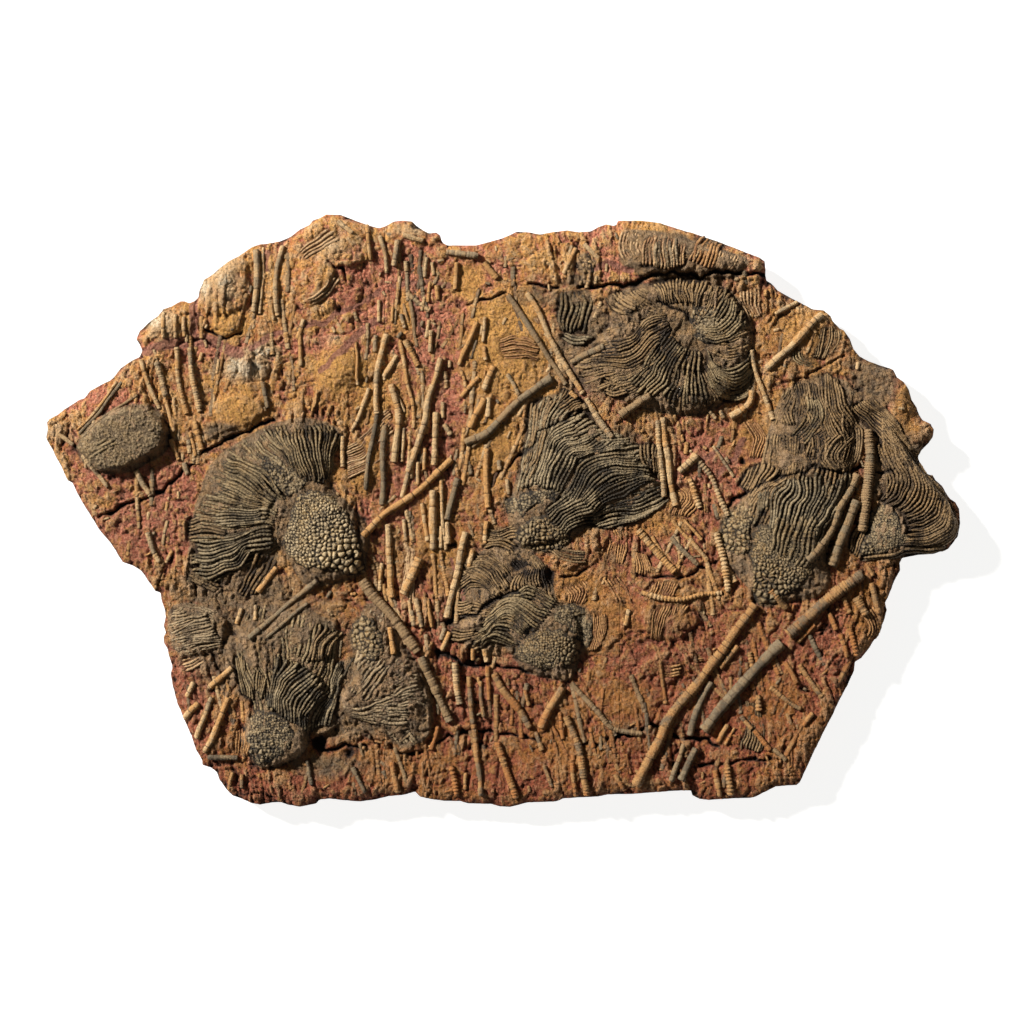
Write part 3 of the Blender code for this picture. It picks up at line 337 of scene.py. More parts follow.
# Tufts of arms laid on the heads: tone, squares from arm to arm, lift in mm, then marked arms in order.
TUFTS = {
    "crown_west": (
        ("olive", 3.4, 0.8, (292, 468, 280, 448, 266, 432), (300, 476, 288, 452, 278, 428),
         (309, 480, 300, 455, 291, 425), (318, 482, 314, 455, 308, 423), (324, 484, 321, 458, 322, 425),
         (328, 482, 332, 458, 344, 434)),
        ("olive", 3.5, 1.0, (284, 492, 262, 470, 234, 456), (277, 500, 250, 481, 220, 464),
         (272, 506, 246, 494, 213, 480), (271, 512, 244, 507, 208, 499)),
        ("grey", 3.6, 1.2, (272, 511, 246, 507, 226, 508), (270, 518, 246, 517, 212, 519),
         (269, 525, 248, 526, 220, 528)),
        ("grey", 3.5, 1.0, (274, 528, 252, 531, 232, 534, 210, 536, 196, 535),
         (276, 536, 251, 540, 234, 549, 214, 553, 194, 553),
         (276, 542, 252, 548, 237, 560, 218, 565, 192, 566),
         (272, 548, 256, 556, 243, 568, 224, 575, 196, 579)),
        ("brown", 4.6, 0.6, (257, 553, 250, 570, 238, 594), (268, 553, 259, 572, 246, 595),
         (281, 556, 268, 577, 256, 594)),
        ("brown", 3.8, 0.2, (188, 520, 204, 515, 222, 520), (188, 540, 206, 538, 228, 540)),
        ("brown", 4.2, 0.2, (190, 570, 204, 574, 222, 584), (186, 580, 200, 586, 214, 592))),
    "crown_southwest": (
        ("olive", 3.3, 0.8, (241, 694, 237, 676, 234, 657), (248, 698, 244, 676, 242, 654),
         (255, 702, 250, 676, 249, 650)),
        ("olive", 3.4, 0.4, (252, 690, 253, 678, 257, 667), (258, 692, 259, 680, 263, 669),
         (262, 702, 264, 692, 267, 680)),
        ("grey", 3.7, 1.4, (269, 707, 271, 690, 274, 673, 276, 654),
         (277, 710, 279, 690, 286, 675, 303, 665), (287, 718, 287, 700, 295, 685, 314, 673),
         (301, 726, 300, 707, 308, 693, 322, 682), (310, 733, 311, 715, 318, 702, 331, 692)),
        ("grey", 3.4, 1.3, (311, 733, 312, 716, 321, 703, 331, 694, 331, 680, 338, 660),
         (322, 726, 325, 713, 332, 703, 336, 694, 337, 681, 346, 660),
         (329, 728, 334, 715, 339, 703, 340, 690, 344, 676, 357, 656)),
        ("brown", 4.0, 0.3, (308, 662, 310, 645, 320, 622), (318, 660, 322, 642, 334, 630),
         (330, 656, 336, 640, 346, 632))),
    "crown_south_mass": (
        ("skin", 4.0, -1.1, (344, 706, 362, 706, 384, 697, 402, 688),
         (346, 713, 366, 715, 388, 708, 408, 708), (354, 720, 372, 724, 392, 730, 412, 726)),
        ("skin", 4.2, -1.1, (386, 734, 404, 726, 424, 704), (398, 746, 412, 736, 431, 714)),
        ("skin", 4.2, -1.0, (346, 680, 353, 668, 362, 655), (354, 692, 368, 674, 382, 658),
         (367, 700, 378, 684, 390, 664)),
        ("skin", 4.2, -1.2, (392, 690, 404, 680, 420, 676), (398, 702, 412, 694, 428, 690))),
    "crown_west_fan": (
        ("skin", 3.0, 0.2, (171, 609, 190, 611, 216, 613), (173, 618, 192, 621, 211, 615)),
        ("skin", 3.1, 0.2, (178, 630, 194, 622, 212, 619), (182, 638, 198, 636, 216, 632),
         (196, 646, 210, 642, 226, 644))),
    "crown_centre": (
        ("brown", 3.1, 0.4, (519, 474, 523, 458, 527, 440, 527, 420, 529, 404),
         (524, 474, 530, 456, 535, 438, 541, 420, 545, 398),
         (530, 478, 538, 458, 546, 440, 549, 422, 556, 402)),
        ("grey", 3.4, 1.0, (533, 480, 541, 462, 547, 445, 551, 430, 560, 423, 590, 411),
         (542, 487, 548, 470, 556, 452, 561, 441, 574, 436, 598, 429),
         (552, 490, 558, 474, 566, 458, 576, 449, 590, 446, 603, 438),
         (563, 493, 569, 474, 580, 460, 592, 452, 614, 449, 642, 447)),
        ("grey", 3.9, 1.6, (544, 512, 558, 500, 574, 488), (552, 524, 570, 510, 588, 502),
         (562, 536, 580, 526, 602, 524)),
        ("grey", 3.9, 1.6, (565, 494, 571, 476, 582, 462, 597, 453, 622, 451, 648, 457),
         (570, 506, 582, 487, 594, 471, 607, 463, 624, 462, 650, 468),
         (574, 510, 590, 491, 606, 478, 624, 472, 652, 478),
         (581, 513, 598, 497, 616, 487, 636, 479, 656, 480),
         (588, 517, 606, 505, 627, 497, 642, 486, 658, 478)),
        ("grey", 3.7, 1.0, (590, 517, 608, 507, 630, 499, 646, 490, 662, 484),
         (588, 520, 609, 512, 632, 508, 651, 500, 666, 490),
         (592, 525, 614, 519, 636, 516, 654, 508, 668, 496), (598, 530, 614, 527, 634, 522, 650, 515)),
        ("brown", 4.0, 0.4, (640, 446, 640, 458, 644, 470), (650, 444, 652, 458, 652, 474),
         (662, 448, 660, 462, 662, 480)),
        ("brown", 3.4, 0.2, (552, 402, 560, 394, 566, 384), (562, 412, 572, 404, 580, 398),
         (574, 416, 584, 410, 594, 406))),
    "crown_whorl": (
        ("brown", 3.2, 0.8, (666, 314, 650, 320, 632, 333, 612, 341, 594, 346),
         (668, 326, 650, 336, 635, 350, 616, 357, 594, 357),
         (671, 338, 654, 350, 641, 362, 622, 368, 594, 364)),
        ("olive", 3.5, 0.8, (666, 330, 650, 352, 640, 370, 624, 384),
         (676, 342, 660, 362, 650, 380, 636, 396), (685, 350, 672, 368, 663, 386, 652, 402)),
        ("olive", 3.9, 0.8, (685, 350, 675, 370, 668, 388, 662, 404),
         (691, 353, 687, 372, 684, 390, 684, 408), (700, 353, 700, 372, 703, 388, 706, 404)),
        ("olive", 3.5, 1.0, (705, 350, 712, 364, 724, 370, 740, 362, 753, 348),
         (706, 358, 717, 374, 731, 380, 745, 373, 754, 362),
         (704, 368, 717, 387, 731, 392, 745, 386, 754, 376), (704, 382, 718, 398, 734, 402, 750, 394)),
        ("olive", 3.6, 0.8, (704, 344, 721, 346, 737, 336, 746, 318),
         (701, 331, 718, 331, 731, 318, 738, 302), (700, 319, 714, 316, 723, 303, 727, 290)),
        ("brown", 3.6, 0.8, (664, 304, 658, 292, 650, 282), (672, 304, 670, 290, 668, 278),
         (684, 306, 684, 292, 686, 278), (698, 308, 702, 292, 708, 280)),
        ("brown", 3.8, 0.2, (604, 300, 614, 312, 626, 318), (616, 292, 626, 304, 640, 310),
         (634, 288, 642, 298, 654, 304)),
        ("brown", 3.6, 0.0, (604, 374, 616, 378, 628, 376), (602, 384, 614, 388, 628, 386),
         (606, 394, 618, 398, 630, 396)),
        ("olive", 5.0, -0.4, (560, 290, 557, 312, 563, 332), (571, 292, 575, 312, 571, 334),
         (592, 290, 590, 312, 584, 334)),
        ("grey", 4.0, 0.4, (560, 338, 572, 344, 586, 346), (566, 332, 580, 338, 598, 338))),
    "crown_east": (
        ("grey", 3.8, 1.4, (769, 537, 769, 513, 770, 498, 778, 487, 782, 478),
         (776, 524, 781, 505, 789, 491, 795, 475), (788, 528, 790, 509, 797, 493, 803, 474),
         (797, 536, 803, 512, 810, 495, 816, 473), (806, 542, 811, 515, 821, 494, 829, 473),
         (810, 548, 820, 520, 831, 497, 838, 473), (816, 548, 829, 526, 837, 507, 846, 488, 852, 472)),
        ("grey", 3.8, 0.6, (753, 530, 756, 512, 757, 490), (762, 512, 763, 500, 764, 489),
         (767, 508, 768, 498, 769, 488)),
        ("olive", 5.2, 1.8, (768, 552, 772, 534, 775, 512), (784, 560, 789, 542, 797, 516),
         (806, 568, 814, 546, 823, 520)),
        ("brown", 3.2, 0.6, (738, 485, 742, 478, 748, 469), (750, 491, 759, 478, 766, 463),
         (762, 490, 772, 480, 780, 468), (774, 487, 780, 481, 787, 474)),
        ("brown", 3.0, 0.4, (794, 383, 796, 400, 803, 418, 808, 440, 806, 464),
         (803, 382, 805, 402, 814, 420, 820, 440, 820, 464),
         (812, 380, 818, 404, 828, 424, 836, 445, 830, 470),
         (828, 374, 830, 404, 842, 424, 848, 445, 842, 470),
         (842, 386, 846, 404, 858, 424, 860, 444, 854, 464)),
        ("olive", 3.0, 0.8, (790, 436, 800, 424, 806, 408, 802, 392),
         (804, 448, 816, 434, 822, 418, 818, 400)),
        ("brown", 3.0, 0.9, (812, 470, 806, 456, 812, 440, 824, 428),
         (830, 472, 822, 458, 828, 444, 838, 434), (848, 470, 842, 456, 848, 446, 856, 440)),
        ("brown", 3.0, 0.1, (773, 436, 789, 451, 800, 468), (785, 430, 797, 446, 808, 464)),
        ("brown", 3.6, 0.1, (786, 392, 780, 408, 784, 424), (796, 400, 792, 414, 796, 430))),
    "crown_south": (
        ("brown", 2.9, 0.6, (463, 596, 470, 586, 483, 587, 497, 597),
         (461, 582, 474, 575, 487, 583, 502, 594), (470, 567, 482, 566, 494, 576, 506, 590),
         (478, 555, 490, 556, 502, 566, 513, 581)),
        ("olive", 3.1, 1.0, (557, 600, 540, 590, 523, 588, 507, 595),
         (549, 609, 530, 600, 513, 598, 498, 602), (541, 623, 524, 612, 509, 606, 496, 610, 484, 620),
         (532, 635, 516, 624, 504, 618, 494, 621, 484, 634, 474, 644),
         (520, 643, 506, 636, 495, 631, 488, 636, 478, 648), (510, 650, 500, 644, 491, 642, 482, 652)),
        ("brown", 3.0, 0.6, (510, 590, 512, 578, 519, 569), (523, 589, 521, 577, 526, 567),
         (538, 588, 534, 577, 536, 565), (549, 591, 546, 579, 544, 567)),
        ("brown", 2.9, 0.0, (456, 600, 468, 600, 478, 597), (454, 608, 466, 609, 476, 606),
         (452, 616, 464, 617, 472, 613)),
        ("brown", 3.2, 0.2, (452, 628, 464, 630, 476, 628), (450, 640, 462, 642, 474, 640)),
        ("brown", 3.0, 0.2, (484, 548, 498, 546, 514, 552), (488, 538, 504, 538, 520, 546))),
    "crown_far_east": (
        ("brown", 3.8, 1.2, (879, 499, 885, 488, 886, 474, 880, 458, 876, 442),
         (891, 507, 904, 494, 905, 478, 896, 460, 887, 440),
         (900, 513, 917, 500, 920, 484, 910, 464, 897, 444),
         (903, 521, 926, 508, 932, 492, 922, 472, 906, 450),
         (906, 529, 934, 520, 943, 500, 933, 482, 917, 462),
         (902, 538, 936, 532, 950, 514, 943, 494, 928, 478),
         (898, 546, 930, 543, 951, 530, 953, 514, 945, 500)),
        ("brown", 3.6, 0.6, (862, 554, 896, 549, 926, 547, 946, 543)),
        ("brown", 2.9, 0.3, (850, 408, 868, 428, 887, 446, 900, 460),
         (862, 402, 880, 420, 896, 434, 912, 452), (880, 402, 890, 416, 900, 428)),
        ("brown", 3.4, 0.4, (848, 548, 852, 534, 860, 522), (856, 556, 862, 542, 868, 530))),
    "crown_tip": (("olive", 5.0, 0.0, (82, 448, 98, 438, 112, 424), (92, 460, 112, 448, 130, 438)),),
    "crown_north": (
        ("skin", 5.0, 0.2, (652, 269, 653, 254, 656, 240), (664, 269, 666, 254, 668, 238),
         (676, 267, 680, 252, 680, 236)),
        ("tan", 3.3, -0.1, (641, 268, 643, 252, 649, 236), (662, 270, 664, 252, 668, 234),
         (684, 268, 686, 252, 690, 238)),
        ("ochre", 4.6, -0.9, (690, 262, 694, 246, 700, 236), (700, 266, 707, 250, 714, 240),
         (710, 268, 718, 254, 728, 246))),
}

# Patches of plates: tone, stem end, bulge in mm, unevenness, plate sizes by distance, then the outline.
PLATES = {
    "plates_west": (
        "cup", 360, 568, 1.5, 0.15, ((16, 8.0), (34, 6.4), (52, 4.6), (66, 3.6), (150, 2.8)),
        (296, 494, 310, 489, 326, 492, 342, 500, 351, 514, 358, 532, 364, 552, 366, 572, 352, 577, 330,
         572, 300, 567, 286, 556, 281, 540, 288, 520)),
    "plates_southwest": (
        "cup_dark", 258, 752, 1.0, 0.4, ((7, 6.5), (20, 3.4), (150, 2.7)),
        (250, 712, 262, 706, 276, 711, 290, 720, 299, 733, 294, 748, 276, 761, 258, 766, 247, 752, 244,
         732)),
    "plates_south_mass": (
        "cup_grey", 370, 622, 1.5, 0.3, ((18, 5.8), (30, 4.4), (150, 3.2)),
        (352, 624, 362, 614, 376, 618, 384, 634, 386, 650, 378, 662, 364, 660, 352, 648, 348, 636)),
    "plates_centre": (
        "cup_grey", 530, 556, 1.5, 0.3, ((20, 5.2), (34, 4.4), (46, 3.2), (150, 2.4)),
        (513, 534, 522, 522, 534, 514, 548, 514, 560, 524, 572, 534, 572, 544, 560, 551, 540, 553, 522,
         550)),
    "knobs_centre": (
        "cup_dark", 520, 508, 1.0, 0.5, ((150, 3.4),),
        (503, 500, 516, 494, 532, 490, 552, 486, 562, 494, 556, 504, 536, 506, 522, 518, 506, 514)),
    "plates_east": (
        "cup_grey", 762, 604, 1.5, 0.15, ((14, 6.8), (30, 5.4), (44, 4.2), (56, 3.0), (150, 2.2)),
        (750, 534, 760, 522, 772, 524, 784, 528, 798, 532, 814, 542, 822, 556, 812, 574, 796, 590, 774,
         606, 758, 606, 750, 590, 748, 560)),
    "plates_east_side": (
        "cup_grey", 722, 556, 1.2, 0.25, ((18, 5.4), (34, 4.6), (150, 3.2)),
        (724, 512, 740, 503, 753, 499, 756, 514, 751, 532, 750, 552, 740, 560, 724, 554, 717, 538)),
    "plates_south": (
        "cup_grey", 574, 656, 1.2, 0.2, ((14, 4.4), (26, 3.2), (150, 2.5)),
        (514, 646, 528, 634, 546, 626, 562, 628, 576, 638, 582, 652, 576, 664, 560, 670, 540, 671, 524,
         665, 511, 655)),
    "grains_south": (
        "cup_dark", 570, 640, 1.0, 0.4, ((150, 2.3),),
        (552, 606, 568, 602, 584, 606, 594, 620, 594, 638, 588, 652, 578, 642, 566, 628, 552, 620)),
    "plates_far_east": (
        "cup_dark", 858, 552, 1.2, 0.2, ((14, 4.0), (150, 2.6)),
        (868, 512, 884, 502, 898, 514, 905, 530, 914, 540, 900, 550, 876, 556, 858, 557, 858, 546, 866,
         532)),
    "knobs_tip": (
        "knobs", 120, 436, 1.0, 0.7, ((150, 2.9),),
        (80, 434, 100, 418, 126, 405, 150, 406, 164, 415, 167, 432, 160, 448, 140, 461, 120, 471, 98, 472,
         83, 464, 77, 448)),
    "knobs_north": (
        "cup_warm", 586, 264, 2.4, 0.6, ((150, 4.2),),
        (580, 252, 590, 254, 597, 264, 594, 274, 582, 276, 575, 266)),
    "knobs_west": (
        "cup_dark", 280, 470, 0.8, 0.6, ((150, 3.4),),
        (258, 458, 276, 452, 296, 470, 310, 482, 300, 494, 288, 498, 276, 488, 262, 474)),
    "knobs_whorl": (
        "cup_dark", 700, 320, 0.8, 0.6, ((150, 3.8),),
        (690, 306, 710, 304, 730, 318, 726, 336, 708, 346, 694, 340, 688, 322)),
}

# Shelves with sharp edges: height in mm, then the outline.
SHELVES = (
    (3.5, 222, 642, 240, 632, 262, 636, 284, 612, 306, 600, 342, 604, 372, 612, 388, 640, 392, 660, 422,
     676, 432, 700, 428, 742, 402, 754, 380, 740, 352, 722, 338, 728, 306, 740, 300, 756, 262, 768, 246,
     752, 244, 712, 232, 680), (2.5, 408, 566, 430, 562, 438, 618, 428, 628, 414, 626, 406, 600),
    (2.4, 586, 614, 606, 590, 622, 600, 626, 625, 612, 646, 592, 650, 582, 640),
    (2.2, 548, 562, 560, 540, 590, 530, 600, 545, 592, 560, 572, 568),
    (4.0, 80, 434, 100, 418, 126, 405, 150, 406, 164, 415, 167, 432, 160, 448, 140, 461, 120, 471, 98,
     472, 83, 464, 77, 448), (2.5, 198, 306, 206, 278, 246, 250, 250, 300, 232, 312, 214, 312),
    (2.5, 286, 308, 300, 260, 290, 240, 330, 216, 366, 226, 370, 260, 338, 270, 322, 300),
    (2.0, 640, 232, 690, 232, 720, 244, 762, 262, 764, 274, 722, 270, 690, 268, 650, 272, 636, 256),
    (2.0, 562, 596, 584, 584, 596, 598, 590, 612, 572, 618),
    (2.4, 440, 650, 452, 626, 480, 616, 486, 640, 474, 656, 460, 660),
    (2.0, 848, 374, 862, 366, 884, 368, 892, 376, 892, 404, 878, 412, 858, 408, 850, 394),
    (2.4, 215, 404, 240, 396, 262, 402, 266, 414, 236, 428, 206, 438, 202, 424),
    (2.0, 640, 590, 670, 580, 700, 590, 700, 620, 676, 642, 646, 636),
    (2.0, 640, 664, 660, 652, 690, 656, 694, 676, 664, 684))

# Broken arms and skins among the stems: tone, squares from arm to arm, lift in mm, then marked arms.
FANS = (
    ("ochre", 3.0, 0.8, (588, 652, 592, 632, 594, 612), (598, 650, 602, 632, 601, 614),
     (605, 642, 609, 630, 608, 617)),
    ("ochre", 3.0, 0.6, (631, 553, 633, 564, 633, 573), (640, 552, 641, 564, 641, 577),
     (649, 554, 651, 564, 653, 573)),
    ("ochre", 3.6, 0.6, (602, 580, 612, 592, 616, 604), (618, 576, 628, 590, 632, 604)),
    ("ochre", 3.6, 0.4, (562, 584, 568, 594, 568, 606), (586, 582, 590, 592, 586, 604)),
    ("ochre", 3.0, 0.3, (642, 598, 648, 588, 652, 581), (656, 600, 664, 590, 669, 581),
     (668, 602, 676, 592, 681, 583)),
    ("ochre", 3.0, 0.5, (649, 640, 651, 620, 654, 605), (658, 641, 664, 622, 671, 604),
     (668, 635, 678, 620, 690, 604)),
    ("ochre", 2.8, 0.2, (697, 650, 706, 650, 718, 648), (694, 662, 704, 662, 714, 660)),
    ("ochre", 4.0, 0.5, (652, 656, 664, 664, 684, 662), (650, 668, 664, 676, 682, 674)),
    ("brown", 3.4, 0.5, (545, 540, 562, 548, 588, 552), (546, 552, 564, 560, 590, 566)),
    ("tan", 4.0, 0.2, (306, 300, 318, 290, 330, 272), (314, 308, 326, 298, 340, 278)),
    ("tan", 4.4, 0.0, (300, 252, 316, 236, 330, 224), (306, 262, 324, 248, 342, 238)),
    ("tan", 3.2, 0.5, (344, 450, 362, 436, 392, 406), (347, 466, 366, 452, 394, 428),
     (350, 482, 368, 470, 396, 450)),
    ("ochre", 3.0, 0.2, (500, 338, 516, 334, 538, 340), (500, 350, 518, 347, 540, 352),
     (504, 361, 520, 360, 540, 364)),
    ("ochre", 3.6, 0.3, (742, 420, 752, 440, 748, 462), (760, 424, 768, 440, 764, 458)),
    ("ochre", 3.6, 0.3, (690, 520, 700, 500, 690, 484), (668, 516, 676, 500, 668, 486)),
    ("tan", 3.6, 0.4, (400, 540, 404, 560, 400, 590), (412, 548, 416, 576, 412, 606)),
    ("ochre", 3.6, 0.3, (600, 530, 606, 546, 600, 566), (622, 530, 628, 548, 624, 566)),
    ("brown", 3.4, 0.2, (480, 522, 500, 530, 520, 524), (484, 536, 502, 542, 524, 538)),
    ("brown", 3.0, 0.2, (812, 358, 816, 344, 822, 328), (824, 360, 828, 344, 832, 326),
     (836, 356, 840, 344, 842, 330)),
    ("olive", 3.0, 0.1, (790, 352, 797, 364, 814, 368), (798, 345, 804, 357, 816, 361)),
    ("ochre", 4.0, 0.4, (860, 612, 866, 630, 858, 652), (876, 606, 880, 622, 872, 642)),
    ("brown", 3.6, 0.4, (740, 700, 744, 724, 738, 750), (760, 706, 766, 728, 762, 752)),
    ("ochre", 4.0, 0.3, (236, 730, 236, 742, 234, 754), (244, 730, 244, 742, 242, 754),
     (252, 740, 252, 750, 250, 756)),
    ("tan", 4.0, 0.4, (180, 660, 190, 656, 202, 652), (186, 672, 196, 668, 206, 662)),
    ("tan", 4.0, 0.4, (548, 302, 540, 316, 548, 330), (536, 300, 528, 312, 534, 326)),
    ("tan", 4.0, 0.3, (737, 292, 742, 306, 748, 324), (746, 288, 750, 304, 757, 322),
     (757, 288, 760, 304, 764, 320)),
)

# Bands of sandy maroon rock: width in squares, then the run.
BANDS = (
    (15, 146, 351, 165, 346, 186, 342, 205, 340, 222, 347, 240, 356), (12, 194, 306, 195, 322, 193, 338),
    (9, 250, 346, 268, 338, 290, 332), (8, 300, 326, 325, 321, 345, 312, 366, 300, 378, 292),
    (9, 322, 372, 334, 360, 346, 344, 360, 332, 376, 322), (8, 268, 252, 266, 268),
    (8, 395, 286, 420, 282, 450, 284), (8, 590, 268, 610, 262, 632, 270),
    (7, 452, 560, 462, 585, 466, 612), (8, 660, 478, 690, 470, 716, 452),
    (8, 720, 470, 735, 455, 742, 440), (7, 412, 300, 416, 322, 426, 336))

# Zones of the rock face: u, v, half width, half height, strength.  Four tell its stains.
RED_ZONES = (
    (400, 290, 50, 40, 1), (150, 532, 45, 28, 1), (105, 402, 36, 12, .9), (425, 345, 40, 60, .8),
    (400, 480, 34, 60, .9), (168, 486, 24, 30, .9), (444, 420, 22, 70, .9), (705, 470, 46, 46, .9),
    (650, 545, 50, 26, .8), (634, 640, 12, 60, 1), (700, 690, 80, 60, .9), (820, 650, 44, 50, .9),
    (480, 700, 46, 40, 1), (402, 630, 24, 60, 1), (540, 668, 46, 12, 1), (190, 700, 26, 50, .9),
    (300, 790, 90, 14, .7), (550, 330, 12, 26, .6), (440, 620, 20, 30, .9), (668, 610, 6, 40, 1),
    (740, 270, 40, 12, .7), (610, 250, 20, 30, .8), (895, 395, 8, 50, 1), (220, 350, 60, 10, .7),
    (330, 345, 60, 12, .7), (590, 380, 14, 24, .8), (470, 270, 40, 16, .8), (760, 660, 40, 30, .9),
    (670, 770, 60, 24, .6), (520, 780, 60, 22, .6), (95, 470, 20, 24, .6), (380, 690, 18, 12, .5))
OCHRE_ZONES = (
    (229, 326, 19, 15, 1.2), (340, 372, 30, 30, 1), (508, 346, 46, 56, 1.2), (750, 436, 28, 34, .7),
    (490, 440, 30, 44, 1.1), (466, 282, 20, 20, 1.1), (404, 318, 14, 26, .9), (545, 405, 20, 24, .8),
    (800, 330, 46, 34, .7), (622, 615, 34, 36, .6), (678, 604, 30, 28, .5), (240, 406, 30, 26, .9),
    (580, 590, 24, 24, .9), (645, 245, 34, 22, .9), (560, 745, 50, 40, .6), (650, 520, 40, 24, .7),
    (500, 320, 22, 24, .8), (868, 612, 22, 34, 1), (770, 705, 50, 40, .6), (365, 465, 26, 36, .9),
    (903, 412, 12, 34, 1), (436, 530, 22, 50, .9), (378, 400, 40, 50, .7), (628, 700, 34, 20, .8),
    (690, 330, 24, 26, .8), (880, 548, 30, 14, .8), (320, 550, 30, 30, .5), (540, 536, 24, 12, 1),
    (240, 470, 50, 20, .3))
PALE_ZONES = (
    (225, 280, 26, 36, .8), (332, 246, 46, 28, .6), (244, 368, 34, 18, 1), (262, 352, 20, 12, 1),
    (158, 322, 26, 22, .85), (206, 288, 12, 18, 1), (60, 432, 22, 18, .7), (300, 300, 50, 40, .4),
    (125, 372, 34, 16, .5), (505, 545, 26, 20, .9), (790, 306, 40, 14, .5), (410, 230, 26, 10, .7),
    (740, 262, 24, 10, .6), (185, 640, 16, 40, .3), (330, 340, 50, 12, .5), (925, 432, 10, 14, .6),
    (860, 364, 24, 8, .6), (480, 590, 16, 12, .6))
GREY_ZONES = (
    (872, 384, 26, 30, 1.2), (222, 432, 24, 11, 1), (582, 281, 24, 8, 1), (128, 434, 44, 28, 1),
    (812, 440, 46, 54, .9), (330, 765, 50, 16, .8), (350, 720, 56, 26, .9), (640, 730, 50, 8, .6),
    (545, 296, 60, 14, .7), (700, 300, 60, 50, .8), (600, 350, 54, 60, 1), (900, 470, 50, 50, .9),
    (238, 592, 72, 28, 1), (555, 672, 18, 10, .9), (455, 622, 16, 6, .9), (260, 640, 96, 64, 1),
    (790, 360, 30, 20, .5), (720, 240, 30, 10, .5), (490, 600, 50, 62, 1), (600, 470, 90, 60, .8))

# Where the face is smooth, and where it lies in folds like skin.
CALM_ZONES = (
    (224, 282, 30, 36, 1), (328, 268, 50, 44, 0.9), (168, 326, 22, 20, .8), (700, 250, 50, 18, .5),
    (900, 400, 16, 40, .7), (640, 690, 40, 34, .6), (585, 765, 50, 26, .5), (340, 772, 60, 20, .5),
    (225, 725, 16, 26, .6))
FOLD_ZONES = (
    (390, 696, 44, 46, 1), (372, 650, 30, 24, .5), (310, 280, 40, 24, .3), (590, 560, 30, 16, .5),
    (640, 690, 34, 26, .5))


# ---- smooth runs and random unevenness ----------------------------------------------------------
def pairs(flat):
    """A flat list of numbers as places of u and v."""
    return np.array(flat, float).reshape(-1, 2)


def along_smooth(knots, steps):
    """Places at the given steps along a smooth curve through knots; step 1.5 is midway from 1 to 2."""
    knots = np.asarray(knots, float)
    ends = np.concatenate([2 * knots[:1] - knots[1:2], knots, 2 * knots[-1:] - knots[-2:-1]])
    steps = np.asarray(steps, float)
    span = np.minimum(steps.astype(int), len(knots) - 2)
    t = (steps - span).reshape((-1,) + (1,) * (knots.ndim - 1))
    a, b, c, d = (ends[span + shift] for shift in range(4))
    return 0.5 * (2 * b + (c - a) * t + (2 * a - 5 * b + 4 * c - d) * t ** 2
                  + (3 * b - a - 3 * c + d) * t ** 3)


def smooth_run(knots, count):
    """count places evenly stepped from knot to knot."""
    return along_smooth(knots, np.linspace(0, len(knots) - 1, count))


def grain(u, v, pitch, seed):
    """Smooth random unevenness between -1 and 1, about one swell to a pitch."""
    table = np.random.RandomState(seed).uniform(-1, 1, (128, 128))
    gu, gv = u / pitch, v / pitch
    iu, iv = np.floor(gu).astype(int), np.floor(gv).astype(int)
    fu, fv = gu - iu, gv - iv
    fu, fv = fu * fu * (3 - 2 * fu), fv * fv * (3 - 2 * fv)
    near = table[iv % 128, iu % 128] * (1 - fu) + table[iv % 128, (iu + 1) % 128] * fu
    far = table[(iv + 1) % 128, iu % 128] * (1 - fu) + table[(iv + 1) % 128, (iu + 1) % 128] * fu
    return near * (1 - fv) + far * fv


def cobbles(u, v, pitch, seed):
    """Distances to the nearest and second nearest scattered stone, in pitches, and the nearest's level."""
    random = np.random.RandomState(seed)
    shift = random.uniform(0.08, 0.92, (2, 64, 64))
    levels = random.uniform(-1, 1, (64, 64))
    gu, gv = u / pitch, v / pitch
    iu, iv = np.floor(gu).astype(int), np.floor(gv).astype(int)
    nearest = np.full(np.shape(u), 9.0)
    second, level = nearest.copy(), nearest.copy()
    for du in (-1, 0, 1):
        for dv in (-1, 0, 1):
            cu, cv = (iu + du), (iv + dv)
            at = (cv % 64, cu % 64)
            away = np.hypot(cu + shift[0][at] - gu, cv + shift[1][at] - gv)
            second = np.minimum(second, np.maximum(nearest, away))
            level = np.where(away < nearest, levels[at], level)
            nearest = np.minimum(nearest, away)
    return nearest, second, level


def streaky(u, v, wide, long, seed):
    """Cobbles drawn out along the stems' lie: nearest, second nearest and level."""
    bent = u + 16 * grain(u, v, 75, 301) + 5 * grain(u, v, 28, 302) + 0.9 * grain(u, v, 6, seed)
    return cobbles(bent, v * wide / long, wide, seed)


def blob(u, v, zone, power=1.2):
    """Strength of an oval zone at places: 1 in its middle, fading outwards."""
    mid_u, mid_v, half_length, half_width, turn = zone
    cos, sin = math.cos(math.radians(turn)), math.sin(math.radians(turn))
    along = ((u - mid_u) * cos - (v - mid_v) * sin) / half_length
    across = ((u - mid_u) * sin + (v - mid_v) * cos) / half_width
    return np.exp(-power * (along ** 2 + across ** 2))


def blurred(field, reach):
    """A field averaged over about reach squares each way."""
    for axis in (0, 1):
        for _ in range(reach):
            field = (np.roll(field, 1, axis) + 2 * field + np.roll(field, -1, axis)) / 4
    return field


def run_distance(u, v, run):
    """Distance in squares from places to an open run of points."""
    best = np.full(np.shape(u), 1e6)
    for (au, av), (bu, bv) in zip(run, run[1:]):
        du, dv = bu - au, bv - av
        share = np.clip(((u - au) * du + (v - av) * dv) / max(du * du + dv * dv, 1e-9), 0, 1)
        best = np.minimum(best, np.hypot(u - au - share * du, v - av - share * dv))
    return best


